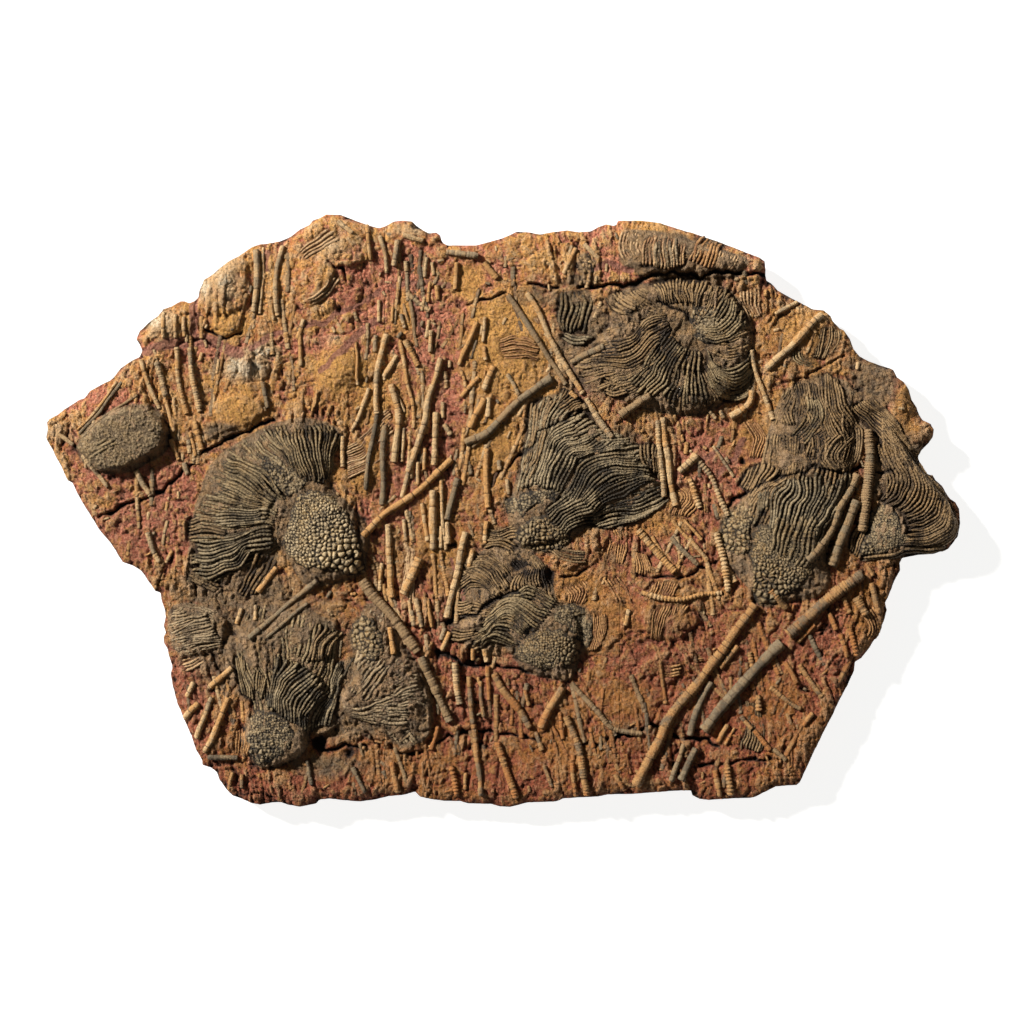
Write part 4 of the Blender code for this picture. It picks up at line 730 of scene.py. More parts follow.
def within(u, v, ring):
    """Whether places lie inside a closed ring of points."""
    inside = np.zeros(np.shape(u), bool)
    for (au, av), (bu, bv) in zip(ring, np.roll(ring, -1, axis=0)):
        if av != bv:
            crosses = ((av > v) != (bv > v)) & (u < (bu - au) * (v - av) / (bv - av) + au)
            inside ^= crosses
    return inside


def patch_depth(u, v, outline):
    """How far places lie inside a closed outline, in squares: negative outside."""
    ring = pairs(outline)
    away = run_distance(u, v, np.vstack([ring, ring[:1]]))
    return np.where(within(u, v, ring), away, -away)


# ---- the height fields --------------------------------------------------------------------------
grid_u, grid_v = np.meshgrid(np.arange(FIELD_U, FIELD_U + FIELD_WIDE, dtype=float),
                             np.arange(FIELD_V, FIELD_V + FIELD_HIGH, dtype=float))


def read(field, u, v):
    """A field's value at places between its squares."""
    fu = np.clip(u - FIELD_U, 0, FIELD_WIDE - 1.001)
    fv = np.clip(v - FIELD_V, 0, FIELD_HIGH - 1.001)
    iu, iv = fu.astype(int), fv.astype(int)
    fu, fv = fu - iu, fv - iv
    return ((field[iv, iu] * (1 - fu) + field[iv, iu + 1] * fu) * (1 - fv)
            + (field[iv + 1, iu] * (1 - fu) + field[iv + 1, iu + 1] * fu) * fv)


def rock_field():
    """Level of the bare face: swellings, the fall at the edge, cracks and pits."""
    level = np.full(grid_u.shape, ROCK_DEPTH)
    ragged_u = grid_u + 2.2 * grain(grid_u, grid_v, 7, 11) + 2 * grain(grid_u, grid_v, 19, 12)
    ragged_v = grid_v + 2.2 * grain(grid_u, grid_v, 7, 13) + 2 * grain(grid_u, grid_v, 19, 14)
    for u, v, half_length, half_width, turn, height in LUMPS:
        level += height * MM * blob(grid_u, grid_v, (u, v, half_length, half_width, turn))
    for pitch, height, seed in ((60, 1.2, 1), (27, 1.0, 2), (13, 0.8, 3)):
        level += height * MM * grain(grid_u, grid_v, pitch, seed)
    for height, *outline in SHELVES:
        depth = patch_depth(ragged_u, ragged_v, outline)
        level += height * MM * np.clip(0.5 + depth / 3, 0, 1)
    edge = run_distance(grid_u, grid_v, np.vstack([pairs(OUTLINE), pairs(OUTLINE)[:1]]))
    level -= EDGE_FALL * np.maximum(0, 1 - edge / EDGE_REACH) ** 2
    gape = np.zeros(grid_u.shape)
    for width, depth, *run in CRACKS:
        run = pairs(run)
        window = ((grid_u > run[:, 0].min() - 14) & (grid_u < run[:, 0].max() + 14)
                  & (grid_v > run[:, 1].min() - 14) & (grid_v < run[:, 1].max() + 14))
        away = run_distance(ragged_u[window], ragged_v[window], run)
        gape[window] = np.maximum(gape[window], depth * MM * np.exp(-(away / width) ** 2 * 4))
    for u, v, radius, depth in PITS:
        away = np.hypot(ragged_u - u, ragged_v - v)
        gape = np.maximum(gape, depth * MM * np.exp(-(away / radius) ** 2 * 1.3))
    return level, gape


def head_guides(head, count):
    """Smooth runs from the stem end of the cup to the arm tips, one for each marked arm."""
    arms = [pairs(arm) for arm in head["arms"]]
    if "hub" in head:
        u, v, radius = head["hub"]
        hub = np.array((u, v), float)
        starts = [hub + (arm[0] - hub) / np.linalg.norm(arm[0] - hub) * radius * 0.1 for arm in arms]
        runs = [np.vstack([start, arm]) for start, arm in zip(starts, arms)]
        runs.append(runs[0])
    else:
        u, v, width = head["joint"]
        first, last = pairs(head["cheeks"])
        across = (last - first) / np.linalg.norm(last - first)
        runs = []
        for index, arm in enumerate(arms):
            share = index / (len(arms) - 1)
            start = np.array((u, v)) + across * width * (share - 0.5)
            runs.append(np.vstack([start, first + (last - first) * share, arm]))
    return np.array([smooth_run(run, count) for run in runs])


def head_rise(head, share, across):
    """Height in mm of a head over the rock, by the share of the way out and the way across."""
    arms = head["rise"] * np.minimum(1, 0.35 + share * 2) * (1 - np.maximum(0, (share - 0.7) / 0.3) ** 2)
    if "hub" in head:
        return np.maximum(head["cup"] * np.exp(-(7 * share / 1.2) ** 2), arms)
    cup = head["cup"] * np.exp(-((7 * share - 1.6) / 1.3) ** 2) * (1 - (2 * across - 1) ** 2) ** 0.6
    return np.maximum(cup, arms * (1 - np.abs(2 * across - 1) ** 4))


def laid_under(sheet, height):
    """The height of a sheet of places, laid on the survey grid and closed up."""
    heap = np.zeros(grid_u.shape)
    rows = np.rint(sheet[..., 1] - FIELD_V).astype(int)
    columns = np.rint(sheet[..., 0] - FIELD_U).astype(int)
    np.maximum.at(heap, (rows, columns), height)
    for _ in range(3):
        around = np.maximum.reduce([np.roll(heap, shift, axis) for axis in (0, 1) for shift in (-1, 1)])
        heap = np.where((heap == 0) & (blurred((heap > 0).astype(float), 2) > 0.45), around, heap)
    return heap


def body_field():
    """How far the heads stand over the rock."""
    body = np.zeros(grid_u.shape)
    for head in HEADS.values():
        across, share = np.meshgrid(np.linspace(0, 1, 300), np.linspace(0, 1, 260), indexing="ij")
        heap = laid_under(smooth_run(head_guides(head, 260), 300), 1.2 + head_rise(head, share, across))
        soft = blurred((heap > 0).astype(float), 3)
        body = np.maximum(body, blurred(heap, 4) * np.minimum(1, soft * 1.6) * MM)
    return body


def tuft_guides(arms, count):
    """Smooth runs through a tuft's marked arms; a lone arm gets a neighbour."""
    runs = [pairs(arm) for arm in arms]
    if len(runs) == 1:
        runs.append(runs[0] + (0, 7))
    return np.array([smooth_run(run, count) for run in runs])


def cover_field(tufts, patches=()):
    """Where tufts and plates lie: 1 under them, 0 away from them."""
    cover = np.zeros(grid_u.shape)
    for _, _, _, *arms in tufts:
        guides = tuft_guides(arms, 220)
        sheet = smooth_run(guides, 240)
        cover = np.maximum(cover, laid_under(sheet, np.ones(sheet.shape[:2])))
    for *_, outline in patches:
        cover = np.maximum(cover, patch_depth(grid_u, grid_v, outline) > 0)
    return blurred(cover, 3)


rock, gape = rock_field()
body = body_field()
head_cover = cover_field([tuft for tufts in TUFTS.values() for tuft in tufts])
plate_cover = cover_field([], PLATES.values())
fan_cover = cover_field(FANS)
skin_cover = cover_field(TUFTS["crown_south_mass"])
cover = np.maximum(np.maximum(head_cover, plate_cover), fan_cover)
face = rock + body
over = np.maximum(0, face - FACE_TOP)
face += FACE_SLACK * (1 - np.exp(-over / FACE_SLACK)) - over
body = face - rock
rock_low = rock - gape * (1 - 0.6 * cover)


def metres(u, v, z):
    """Places on the survey grid with their heights, in metres."""
    return np.stack([(np.asarray(u) - MID_U) * SQUARE, (MID_V - np.asarray(v)) * SQUARE, np.asarray(z)], -1)


def surveyed(mesh):
    """A mesh's points as u, v and height."""
    flat = np.empty(len(mesh.vertices) * 3)
    mesh.vertices.foreach_get("co", flat)
    x, y, z = flat.reshape(-1, 3).T
    return x / SQUARE + MID_U, MID_V - y / SQUARE, z


# ---- finishes -----------------------------------------------------------------------------------
class Finish:
    """A stone finish, built up node by node from the piece's own coordinates and marks."""

    def __init__(self, name, rough=0.78):
        self.material = bpy.data.materials.new(name)
        self.material.use_nodes = True
        self.tree = self.material.node_tree
        self.shader = self.tree.nodes["Principled BSDF"]
        self.shader.inputs["Roughness"].default_value = rough
        self.shader.inputs["Specular IOR Level"].default_value = 0.3
        self.places = self.tree.nodes.new("ShaderNodeTexCoord").outputs["Object"]

    def plug(self, socket, value):
        """Sets a socket to a number or colour, or links it to another node."""
        if isinstance(value, bpy.types.NodeSocket):
            self.tree.links.new(value, socket)
        elif isinstance(value, tuple):
            socket.default_value = (*value, 1.0)
        else:
            socket.default_value = value

    def noise(self, scale, detail=4.0, rough=0.6, stretch=None):
        """Mottling, with scale swells to the metre."""
        made = self.tree.nodes.new("ShaderNodeTexNoise")
        made.inputs["Scale"].default_value = scale
        made.inputs["Detail"].default_value = detail
        made.inputs["Roughness"].default_value = rough
        where = self.places
        if stretch:
            mapping = self.tree.nodes.new("ShaderNodeMapping")
            mapping.inputs["Scale"].default_value = stretch
            self.tree.links.new(self.places, mapping.inputs["Vector"])
            where = mapping.outputs["Vector"]
        self.tree.links.new(where, made.inputs["Vector"])
        return made.outputs["Fac"]

    def cells(self, scale, feature="F1"):
        """Rounded grains, with scale grains to the metre."""
        made = self.tree.nodes.new("ShaderNodeTexVoronoi")
        made.feature = feature
        made.inputs["Scale"].default_value = scale
        self.tree.links.new(self.places, made.inputs["Vector"])
        return made.outputs["Distance"]

    def mark(self, name):
        """A mark laid on the piece's points."""
        made = self.tree.nodes.new("ShaderNodeAttribute")
        made.attribute_name = name
        return made.outputs["Fac"]

    def fit(self, value, low, high, to_low=0.0, to_high=1.0):
        """A value's range from low to high stretched to another range."""
        made = self.tree.nodes.new("ShaderNodeMapRange")
        made.clamp = True
        self.plug(made.inputs["Value"], value)
        for name, number in (("From Min", low), ("From Max", high),
                             ("To Min", to_low), ("To Max", to_high)):
            made.inputs[name].default_value = number
        return made.outputs["Result"]

    def sum(self, first, second, how="ADD"):
        """Two values joined."""
        made = self.tree.nodes.new("ShaderNodeMath")
        made.operation = how
        self.plug(made.inputs[0], first)
        self.plug(made.inputs[1], second)
        return made.outputs["Value"]

    def mix(self, share, first, second, how="MIX"):
        """Two colours mixed."""
        made = self.tree.nodes.new("ShaderNodeMix")
        made.data_type = "RGBA"
        made.blend_type = how
        self.plug(made.inputs[0], share)
        self.plug(made.inputs[6], first)
        self.plug(made.inputs[7], second)
        return made.outputs[2]

    def colour(self, value):
        """Sets the stone's colour."""
        self.plug(self.shader.inputs["Base Color"], value)

    def uneven(self, height, depth, strength=1.0):
        """Raises the surface by a height field, depth metres deep."""
        made = self.tree.nodes.new("ShaderNodeBump")
        made.inputs["Distance"].default_value = depth
        made.inputs["Strength"].default_value = strength
        self.tree.links.new(height, made.inputs["Height"])
        before = self.shader.inputs["Normal"].links
        if before:
            self.tree.links.new(before[0].from_socket, made.inputs["Normal"])
        self.tree.links.new(made.outputs["Normal"], self.shader.inputs["Normal"])


RUST, OCHRE, MAROON = (0.44, 0.155, 0.044), (0.62, 0.31, 0.088), (0.43, 0.120, 0.068)
# The last of these is painted shade, with some dirt, for the rock's hollows.
PALE, ASH, SHADE_AND_DIRT = (0.60, 0.405, 0.220), (0.15, 0.115, 0.072), (0.020, 0.010, 0.006)
ROSE, GOLD, CREAM = (0.69, 0.290, 0.175), (0.70, 0.38, 0.10), (0.72, 0.60, 0.42)


def rock_finish():
    """Red and ochre mudstone, pale and grey in places, with painted shade in its hollows and painted
    highlight on its crests, darker and rustier lower down, partly as painted fall-off of the light.
    """
    stone = Finish("red_and_ochre_mudstone", 0.82)
    blotch = stone.noise(46, 5, 0.66)
    fleck = stone.noise(280, 4, 0.65)
    streak = stone.noise(300, 4, 0.65, (1, 0.22, 1))
    ground = stone.mix(stone.fit(blotch, 0.42, 0.58), RUST, OCHRE)
    ground = stone.mix(stone.fit(stone.mark("tint"), 0.45, 0.95, 0, 0.8), ground, GOLD)
    ground = stone.mix(stone.fit(stone.noise(120, 5, 0.7), 0.46, 0.62, 0, 0.7), ground,
                       stone.mix(blotch, OCHRE, CREAM))
    red = stone.fit(stone.sum(stone.mark("red"), stone.noise(80, 5, 0.75)), 0.76, 1.10)
    ground = stone.mix(red, ground, stone.mix(stone.fit(fleck, 0.38, 0.60), MAROON, ROSE))
    ground = stone.mix(stone.fit(stone.noise(62, 5, 0.75), 0.52, 0.60, 0, 0.6), ground,
                       stone.mix(fleck, OCHRE, GOLD))
    ochre = stone.fit(stone.sum(stone.mark("ochre"), stone.noise(90, 4)), 0.80, 1.20, 0, 0.9)
    ground = stone.mix(ochre, ground, stone.mix(stone.fit(fleck, 0.4, 0.6), OCHRE, GOLD))
    pale = stone.sum(stone.mark("pale"), stone.noise(60, 5, 0.7))
    ground = stone.mix(stone.fit(pale, 0.85, 1.25), ground, PALE)
    ground = stone.mix(stone.fit(stone.sum(pale, stone.fit(fleck, 0.4, 0.6, -0.1, 0.1)), 1.30, 1.45),
                       ground, CREAM)
    # Darker and rustier towards the lower right and brighter at the upper left: partly rust, partly painted
    # fall-off of the lamp's light.
    ground = stone.mix(stone.fit(stone.mark("rust_and_falloff"), 0.12, 0.85), ground,
                       stone.mix(1.0, ground, (0.58, 0.44, 0.33), "MULTIPLY"))
    lit_upper_left = stone.mix(1.0, ground, (1.24, 1.19, 1.12), "MULTIPLY")
    ground = stone.mix(stone.fit(stone.mark("rust_and_falloff"), 0.0, 0.35, 1, 0), ground, lit_upper_left)
    grey = stone.fit(stone.sum(stone.mark("grey"), stone.noise(70, 5, 0.7)), 0.86, 1.2, 0, 0.9)
    ground = stone.mix(grey, ground, stone.mix(stone.fit(stone.noise(95, 5, 0.7), 0.42, 0.60), ASH,
                                               (0.30, 0.185, 0.085)))
    ground = stone.mix(stone.fit(streak, 0.55, 0.68, 0, 0.35), ground, (0.66, 0.43, 0.25))
    ground = stone.mix(stone.fit(stone.noise(420, 3, 0.7), 0.36, 0.48, 0.6, 0), ground,
                       (0.09, 0.032, 0.013))
    # Painted shade, with some dirt, in the hollows and in the gaps under the arms.
    ground = stone.mix(stone.mark("hollow_shade"), ground, SHADE_AND_DIRT)
    # Painted highlight on the raised crests of the rock.
    ground = stone.mix(stone.fit(stone.mark("crest_light"), 0, 1, 0, 0.32), ground, (0.66, 0.43, 0.25))
    sandy = stone.mix(stone.fit(fleck, 0.38, 0.62), (0.22, 0.080, 0.052), (0.46, 0.20, 0.135))
    band = stone.fit(stone.sum(stone.mark("sandy"), stone.noise(90, 5, 0.7)), 0.9, 1.2, 0, 0.85)
    ground = stone.mix(band, ground, sandy)
    stone.colour(ground)
    stone.uneven(streak, 0.0040)
    stone.uneven(stone.noise(240, 6, 0.75), 0.0060)
    stone.uneven(stone.cells(300), 0.0010)
    return stone.material


def head_finish(name, deep, middle, crest_light, warm):
    """Fossil arms: painted shade between them and down their sides, painted highlight along their crests,
    with warmer stains.
    """
    stone = Finish(name, 0.6)
    stain = stone.fit(stone.sum(stone.noise(40, 5, 0.7), stone.fit(stone.mark("tint"), 0, 1, -0.05, 0.05)),
                      0.45, 0.58)
    ground = stone.mix(stain, middle, warm)
    ground = stone.mix(stone.fit(stone.mark("tint"), 0.0, 0.5, 0.6, 0), ground, deep)
    ground = stone.mix(stone.fit(stone.noise(300, 4, 0.7), 0.42, 0.60, 0, 0.7), ground, crest_light)
    # Painted highlight on the arms' crests, then painted shade down their sides and in the grooves.
    ground = stone.mix(stone.fit(stone.mark("crest_light"), 0.62, 1.0, 0, 0.7), ground, crest_light)
    ground = stone.mix(stone.fit(stone.mark("crest_light"), 0.15, 0.8, 0.96, 0), ground, deep)
    ground = stone.mix(stone.fit(stone.noise(190, 3, 0.7), 0.36, 0.48, 0.75, 0), ground, deep)
    stone.colour(ground)
    stone.uneven(stone.noise(520, 5, 0.7), 0.0022)
    return stone.material


def stem_finish(name, first, second, third):
    """Fossil stems: lengths of ochre, cream or grey calcite, dark in their joints, with painted shade low on
    their sides and between their rings.
    """
    stone = Finish(name, 0.6)
    tint = stone.sum(stone.mark("tint"), stone.fit(stone.noise(60, 5, 0.7), 0.3, 0.7, -0.35, 0.35))
    ground = stone.mix(stone.fit(tint, 0.22, 0.48), first, second)
    ground = stone.mix(stone.fit(tint, 0.66, 0.92), ground, third)
    ground = stone.mix(stone.fit(stone.noise(150, 5, 0.7), 0.50, 0.64, 0, 0.6), ground, first)
    # Painted shade on the stems' low sides and in the narrow places between rings.
    ground = stone.mix(stone.fit(stone.mark("crest_light"), 0.10, 0.72, 0.92, 0), ground, (0.08, 0.030, 0.013))
    ground = stone.mix(stone.fit(stone.mark("joint"), 0.2, 0.8, 0, 0.85), ground, (0.045, 0.022, 0.010))
    ground = stone.mix(stone.fit(stone.noise(520, 3, 0.7), 0.35, 0.48, 0.6, 0), ground,
                       (0.14, 0.065, 0.028))
    stone.colour(ground)
    stone.uneven(stone.noise(420, 5, 0.75), 0.0030)
    return stone.material


FINISHES = {
    "rock": rock_finish(),
    "olive": head_finish("olive_arms",
        (0.014, 0.009, 0.005), (0.115, 0.076, 0.032), (0.36, 0.26, 0.135), (0.22, 0.125, 0.040)),
    "grey": head_finish("grey_arms",
        (0.020, 0.014, 0.008), (0.120, 0.088, 0.046), (0.37, 0.28, 0.160), (0.19, 0.12, 0.048)),
    "brown": head_finish("brown_arms",
        (0.016, 0.009, 0.005), (0.125, 0.073, 0.030), (0.34, 0.22, 0.105), (0.23, 0.125, 0.040)),
    "ochre": head_finish("ochre_arms",
        (0.15, 0.058, 0.024), (0.33, 0.155, 0.052), (0.46, 0.25, 0.098), (0.40, 0.19, 0.055)),
    "tan": head_finish("tan_arms",
        (0.20, 0.092, 0.042), (0.40, 0.235, 0.105), (0.54, 0.36, 0.19), (0.46, 0.25, 0.09)),
    "cup": head_finish("cup_plates",
        (0.014, 0.008, 0.005), (0.24, 0.165, 0.08), (0.60, 0.46, 0.27), (0.38, 0.23, 0.075)),
    "cup_warm": head_finish("warm_plates",
        (0.02, 0.010, 0.005), (0.34, 0.19, 0.075), (0.58, 0.38, 0.18), (0.38, 0.19, 0.055)),
    "cup_grey": head_finish("grey_plates",
        (0.020, 0.013, 0.007), (0.17, 0.115, 0.055), (0.36, 0.265, 0.145), (0.28, 0.155, 0.045)),
    "skin": head_finish("wrinkled_skin",
        (0.045, 0.028, 0.014), (0.19, 0.122, 0.060), (0.42, 0.31, 0.18), (0.25, 0.145, 0.055)),
    "knobs": head_finish("tip_knobs",
        (0.115, 0.075, 0.038), (0.20, 0.135, 0.066), (0.31, 0.222, 0.122), (0.28, 0.17, 0.062)),
    "cup_dark": head_finish("dark_knobs",
        (0.012, 0.008, 0.005), (0.13, 0.092, 0.046), (0.36, 0.27, 0.155), (0.22, 0.135, 0.05)),
    "stem_tan": stem_finish("tan_stems", (0.55, 0.290, 0.10), (0.61, 0.41, 0.205), (0.34, 0.245, 0.140)),
    "stem_rust": stem_finish("rust_stems",
        (0.40, 0.160, 0.044), (0.43, 0.235, 0.088), (0.19, 0.135, 0.078)),
    "stem_grey": stem_finish("grey_stems", (0.33, 0.21, 0.10), (0.24, 0.18, 0.105), (0.13, 0.10, 0.062)),
}


# ---- pieces -------------------------------------------------------------------------------------
def seed_of(name):
    """A fixed random seed for a name."""
    return sum(ord(letter) * (place + 3) for place, letter in enumerate(name)) % 9973


def lay_mark(mesh, name, values):
    """Lays a mark from 0 to 1 on a mesh's points, for its finish."""
    made = mesh.attributes.new(name, "FLOAT", "POINT")
    made.data.foreach_set("value", np.clip(values, 0, 1).astype(np.float32).ravel())


def finished(name, mesh, finish, nodes=()):
    """A finished piece on the slab, which stands for those nodes."""
    piece = bpy.data.objects.new(name, mesh)
    bpy.context.scene.collection.objects.link(piece)
    mesh.materials.clear()
    mesh.materials.append(FINISHES[finish])
    mesh.shade_smooth()
    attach(piece, "root")
    if nodes:
        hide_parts(*nodes)
    return piece


def rods(name, runs, sides=2):
    """A mesh of round rods: each run has rows of u, v, height and radius in squares."""
    curve = bpy.data.curves.new(name, "CURVE")
    curve.dimensions = "3D"
    curve.bevel_depth = SQUARE
    curve.bevel_resolution = sides
    for run in runs:
        spline = curve.splines.new("POLY")
        spline.points.add(len(run) - 1)
        places = metres(run[:, 0], run[:, 1], run[:, 2])
        spline.points.foreach_set("co", np.hstack([places, np.ones((len(run), 1))]).ravel())
        spline.points.foreach_set("radius", run[:, 3])
    holder = bpy.data.objects.new(name, curve)
    bpy.context.scene.collection.objects.link(holder)
    mesh = bpy.data.meshes.new_from_object(holder.evaluated_get(bpy.context.evaluated_depsgraph_get()))
    bpy.data.objects.remove(holder)
    bpy.data.curves.remove(curve)
    shape = bmesh.new()
    shape.from_mesh(mesh)
    bmesh.ops.holes_fill(shape, edges=[edge for edge in shape.edges if edge.is_boundary], sides=0)
    bmesh.ops.recalc_face_normals(shape, faces=shape.faces)
    shape.to_mesh(mesh)
    shape.free()
    mesh.name = name
    return mesh


def resampled(run, step):
    """A run's places evenly spaced, and the length along it at each."""
    lengths = np.concatenate([[0], np.cumsum(np.linalg.norm(np.diff(run[:, :2], axis=0), axis=1))])
    count = max(4, int(lengths[-1] / step) + 1)
    at = np.linspace(0, lengths[-1], count)
    return np.stack([np.interp(at, lengths, column) for column in run.T], -1), at


def swayed(run, sway, pitch, seed):
    """A run shifted in slow waves shared by its neighbours."""
    u, v = run[:, 0], run[:, 1]
    return np.stack([u + sway * grain(u, v, pitch, seed), v + sway * grain(u, v, pitch, seed + 1)], -1)


def fan_runs(guides, pitch, seed):
    """Arms laid side by side between marked ones, forking where they spread. Rows: u, v, radius."""
    random = np.random.RandomState(seed)
    gaps = np.linalg.norm(np.diff(guides, axis=0), axis=2)
    spread = gaps.sum(0)
    count = max(2, int(round(np.percentile(spread, 80) / pitch)))
    marks = np.concatenate([[0], np.cumsum(np.percentile(gaps, 70, axis=1))])
    steps = guides.shape[1]
    runs = []
    for index in range(count):
        want = (index + 0.5 + random.uniform(-0.16, 0.16)) / count * marks[-1]
        run = along_smooth(guides, [np.interp(want, marks, np.arange(len(marks)))])[0]
        order = 4 if index % 4 == 0 else 2 if index % 4 == 2 else 1
        between = spread / count
        begin = 0
        if order < 4:
            wide = np.nonzero(between * order > 0.62 * pitch)[0]
            if len(wide) == 0:
                continue
            begin = wide[0]
        finish = steps - int(steps * random.uniform(0, 0.2) * random.rand())
        if finish - begin < 6:
            continue
        room = np.where(between > 0.62 * pitch, between,
                        np.where(between * 2 > 0.62 * pitch, between * 2, between * 4))
        radius = np.clip(room, 0.62 * pitch, 1.08 * pitch) * 0.44 * random.uniform(0.85, 1.1)
        if order < 4 and begin > 0:
            step = np.interp(want - marks[-1] / count * order, marks, np.arange(len(marks)))
            parent = along_smooth(guides, [step])[0]
            blend = np.clip(1 - (np.arange(steps) - begin) / 14, 0, 1)[:, None] ** 2
            run = run * (1 - blend) + parent * blend
        runs.append(np.column_stack([run, radius])[begin:finish])
    return runs


def arm_mesh(name, runs, pitch, lift, seed, rough=1.0):
    """Arms of small joints laid on the face, marked by their height and each by a tint."""
    random = np.random.RandomState(seed)
    shaped, tints = [], []
    for run in runs:
        run, at = resampled(run, 1.15)
        if len(run) < 6:
            continue
        where = swayed(run, 2.8, 19, 405)
        where += swayed(run, 1.0, 8, seed + 9) - run[:, :2]
        radius = run[:, 2] * (1 + 0.16 * np.cos(at * 2 * math.pi / 3.6 + random.uniform(0, 6)))
        radius *= 1 + 0.12 * grain(at, at * 0, 11, seed + 3)
        ends = np.minimum(1, np.minimum(at, at[-1] - at) / (2.2 * run[:, 2]) + 0.25)
        radius *= ends
        u, v = where.T
        height = read(face, u, v) + lift * MM + rough * MM * (0.7 * grain(u, v, 9, seed + 7)
                                                            + random.uniform(-0.7, 0.6))
        height -= 0.9 * MM * (1 - ends) + 1.3 * MM * buried(u, v) + 0.55 * read(gape, u, v)
        shaped.append(np.column_stack([u, v, height, radius]))
        tints.append(np.clip(random.uniform(0.2, 0.8) + 0.3 * grain(u, v, 14, seed + 21), 0, 1))
    mesh = rods(name, shaped, 1)
    around = len(mesh.vertices) // sum(len(run) for run in shaped)
    u, v, z = surveyed(mesh)
    # Height over the face, for painted highlight on the crests and painted shade between the arms.
    lay_mark(mesh, "crest_light", (z - read(face, u, v) - (lift - 1.0) * MM) / (pitch * 0.5 * SQUARE + 1.0 * MM))
    lay_mark(mesh, "tint", np.repeat(np.concatenate(tints), around))
    return mesh


# matrix: the slab of mudstone, and the broken crust that is its face
def cut_sheet(step, window):
    """A flat sheet of small squares inside the outline and the window, with its rim on the outline."""
    ring = pairs(OUTLINE)
    low = np.maximum(ring.min(0), (window[0], TOP))
    high = np.minimum(ring.max(0), (window[1], BOTTOM))
    columns, rows = int(math.ceil((high[0] - low[0]) / step)), int(math.ceil((high[1] - low[1]) / step)) + 1
    shape = bmesh.new()
    bmesh.ops.create_grid(shape, x_segments=columns, y_segments=rows, size=0.5)
    bmesh.ops.scale(shape, vec=(high[0] - low[0], rows * step, 1), verts=shape.verts)
    bmesh.ops.translate(shape, vec=(*((low + high) / 2), 0), verts=shape.verts)
    middles = np.array([cell.calc_center_median()[:2] for cell in shape.faces])
    keep = within(middles[:, 0], middles[:, 1], ring)
    bmesh.ops.delete(shape, geom=[cell for cell, inside in zip(shape.faces, keep) if not inside],
                     context="FACES")
    starts, ends = ring, np.roll(ring, -1, axis=0)
    for vert in shape.verts:
        if vert.is_boundary:
            place = np.array(vert.co[:2])
            share = np.clip(((place - starts) * (ends - starts)).sum(1) / ((ends - starts) ** 2).sum(1), 0, 1)
            near = starts + (ends - starts) * share[:, None]
            apart = np.linalg.norm(near - place, axis=1)
            if apart.min() < 1.6 * step:
                vert.co.xy = near[np.argmin(apart)]
    bmesh.ops.dissolve_degenerate(shape, dist=0.05,
                                  edges=[edge for edge in shape.edges if edge.is_boundary])
    return shape


def crevices(u, v, pitch, seed):
    """A net of narrow gaps, 1 in their middles."""
    wave = grain(u, v, pitch, seed) + 0.4 * grain(u, v, pitch * 0.4, seed + 1)
    return np.clip(1 - np.abs(wave) / 0.16, 0, 1)


def face_detail(u, v):
    """Lumps, buried stems, wrinkles and gaps of the slab's face, in metres, and each lump's level."""
    near_long, second_long, level_long = streaky(u, v, 7.5, 40, 51)
    near_short, second_short, level_short = streaky(u, v, 4.4, 15, 52)
    bent_u, bent_v = u + 3.5 * grain(u, v, 15, 54) + 1.6 * grain(u, v, 5, 56), v + 3.5 * grain(u, v, 15, 57)
    near_grain, second_grain, level_grain = cobbles(bent_u, bent_v, 5.2, 53)
    skin = np.clip(0.5 + 1.6 * grain(u, v, 44, 58) + 0.5 * zone_mark(u, v, OCHRE_ZONES), 0, 1)
    stemmy = np.clip(0.6 + 1.5 * grain(u, v, 52, 59), 0.1, 1) * (1 - 0.5 * skin)
    wrinkle = 1 - np.abs(grain(bent_u * 0.55 + bent_v * 0.3, bent_v, 4.6, 61)) * 2.4
    detail = (stemmy * (1.5 * level_long + 4.2 * (np.minimum(0.36, second_long - near_long) - 0.2))
              + (0.35 + 0.65 * stemmy)
              * (0.9 * level_short + 2.0 * (np.minimum(0.36, second_short - near_short) - 0.2))
              + (1 - 0.7 * skin)
              * (0.6 * level_grain + 1.3 * (np.minimum(0.34, second_grain - near_grain) - 0.17))
              + 0.75 * skin * np.clip(wrinkle, 0, 1)
              - 1.6 * crevices(u, v, 23, 41) - 1.1 * crevices(u, v, 11, 44) + 0.5 * grain(u, v, 8.3, 31))
    level = 0.5 + 0.28 * level_long + 0.24 * level_short + 0.16 * level_grain
    near_fine, second_fine, level_fine = cobbles(bent_u, bent_v, 3.3, 60)
    detail = 1.2 * detail + 0.5 * level_fine + 1.1 * (np.minimum(0.36, second_fine - near_fine) - 0.18)
    detail *= (1 - 0.45 * read(arm_cover, u, v)) * (1 - 0.4 * band_mark(u, v))
    detail *= 1 - 0.45 * np.maximum(zone_mark(u, v, OCHRE_ZONES), zone_mark(u, v, CALM_ZONES))
    folds = 1 - np.abs(grain(bent_u + 0.5 * bent_v, bent_v - 0.3 * bent_u, 9, 63)) * 4.5
    detail += 2.0 * zone_mark(u, v, FOLD_ZONES) * np.clip(folds, 0, 1)
    return detail * MM, level


def buried(u, v):
    """Where rock still clings over the arms: 1 where they are hidden."""
    return np.clip((grain(u, v, 27, 201) + 0.55 * grain(u, v, 10, 202) - 0.22) / 0.3, 0, 1)


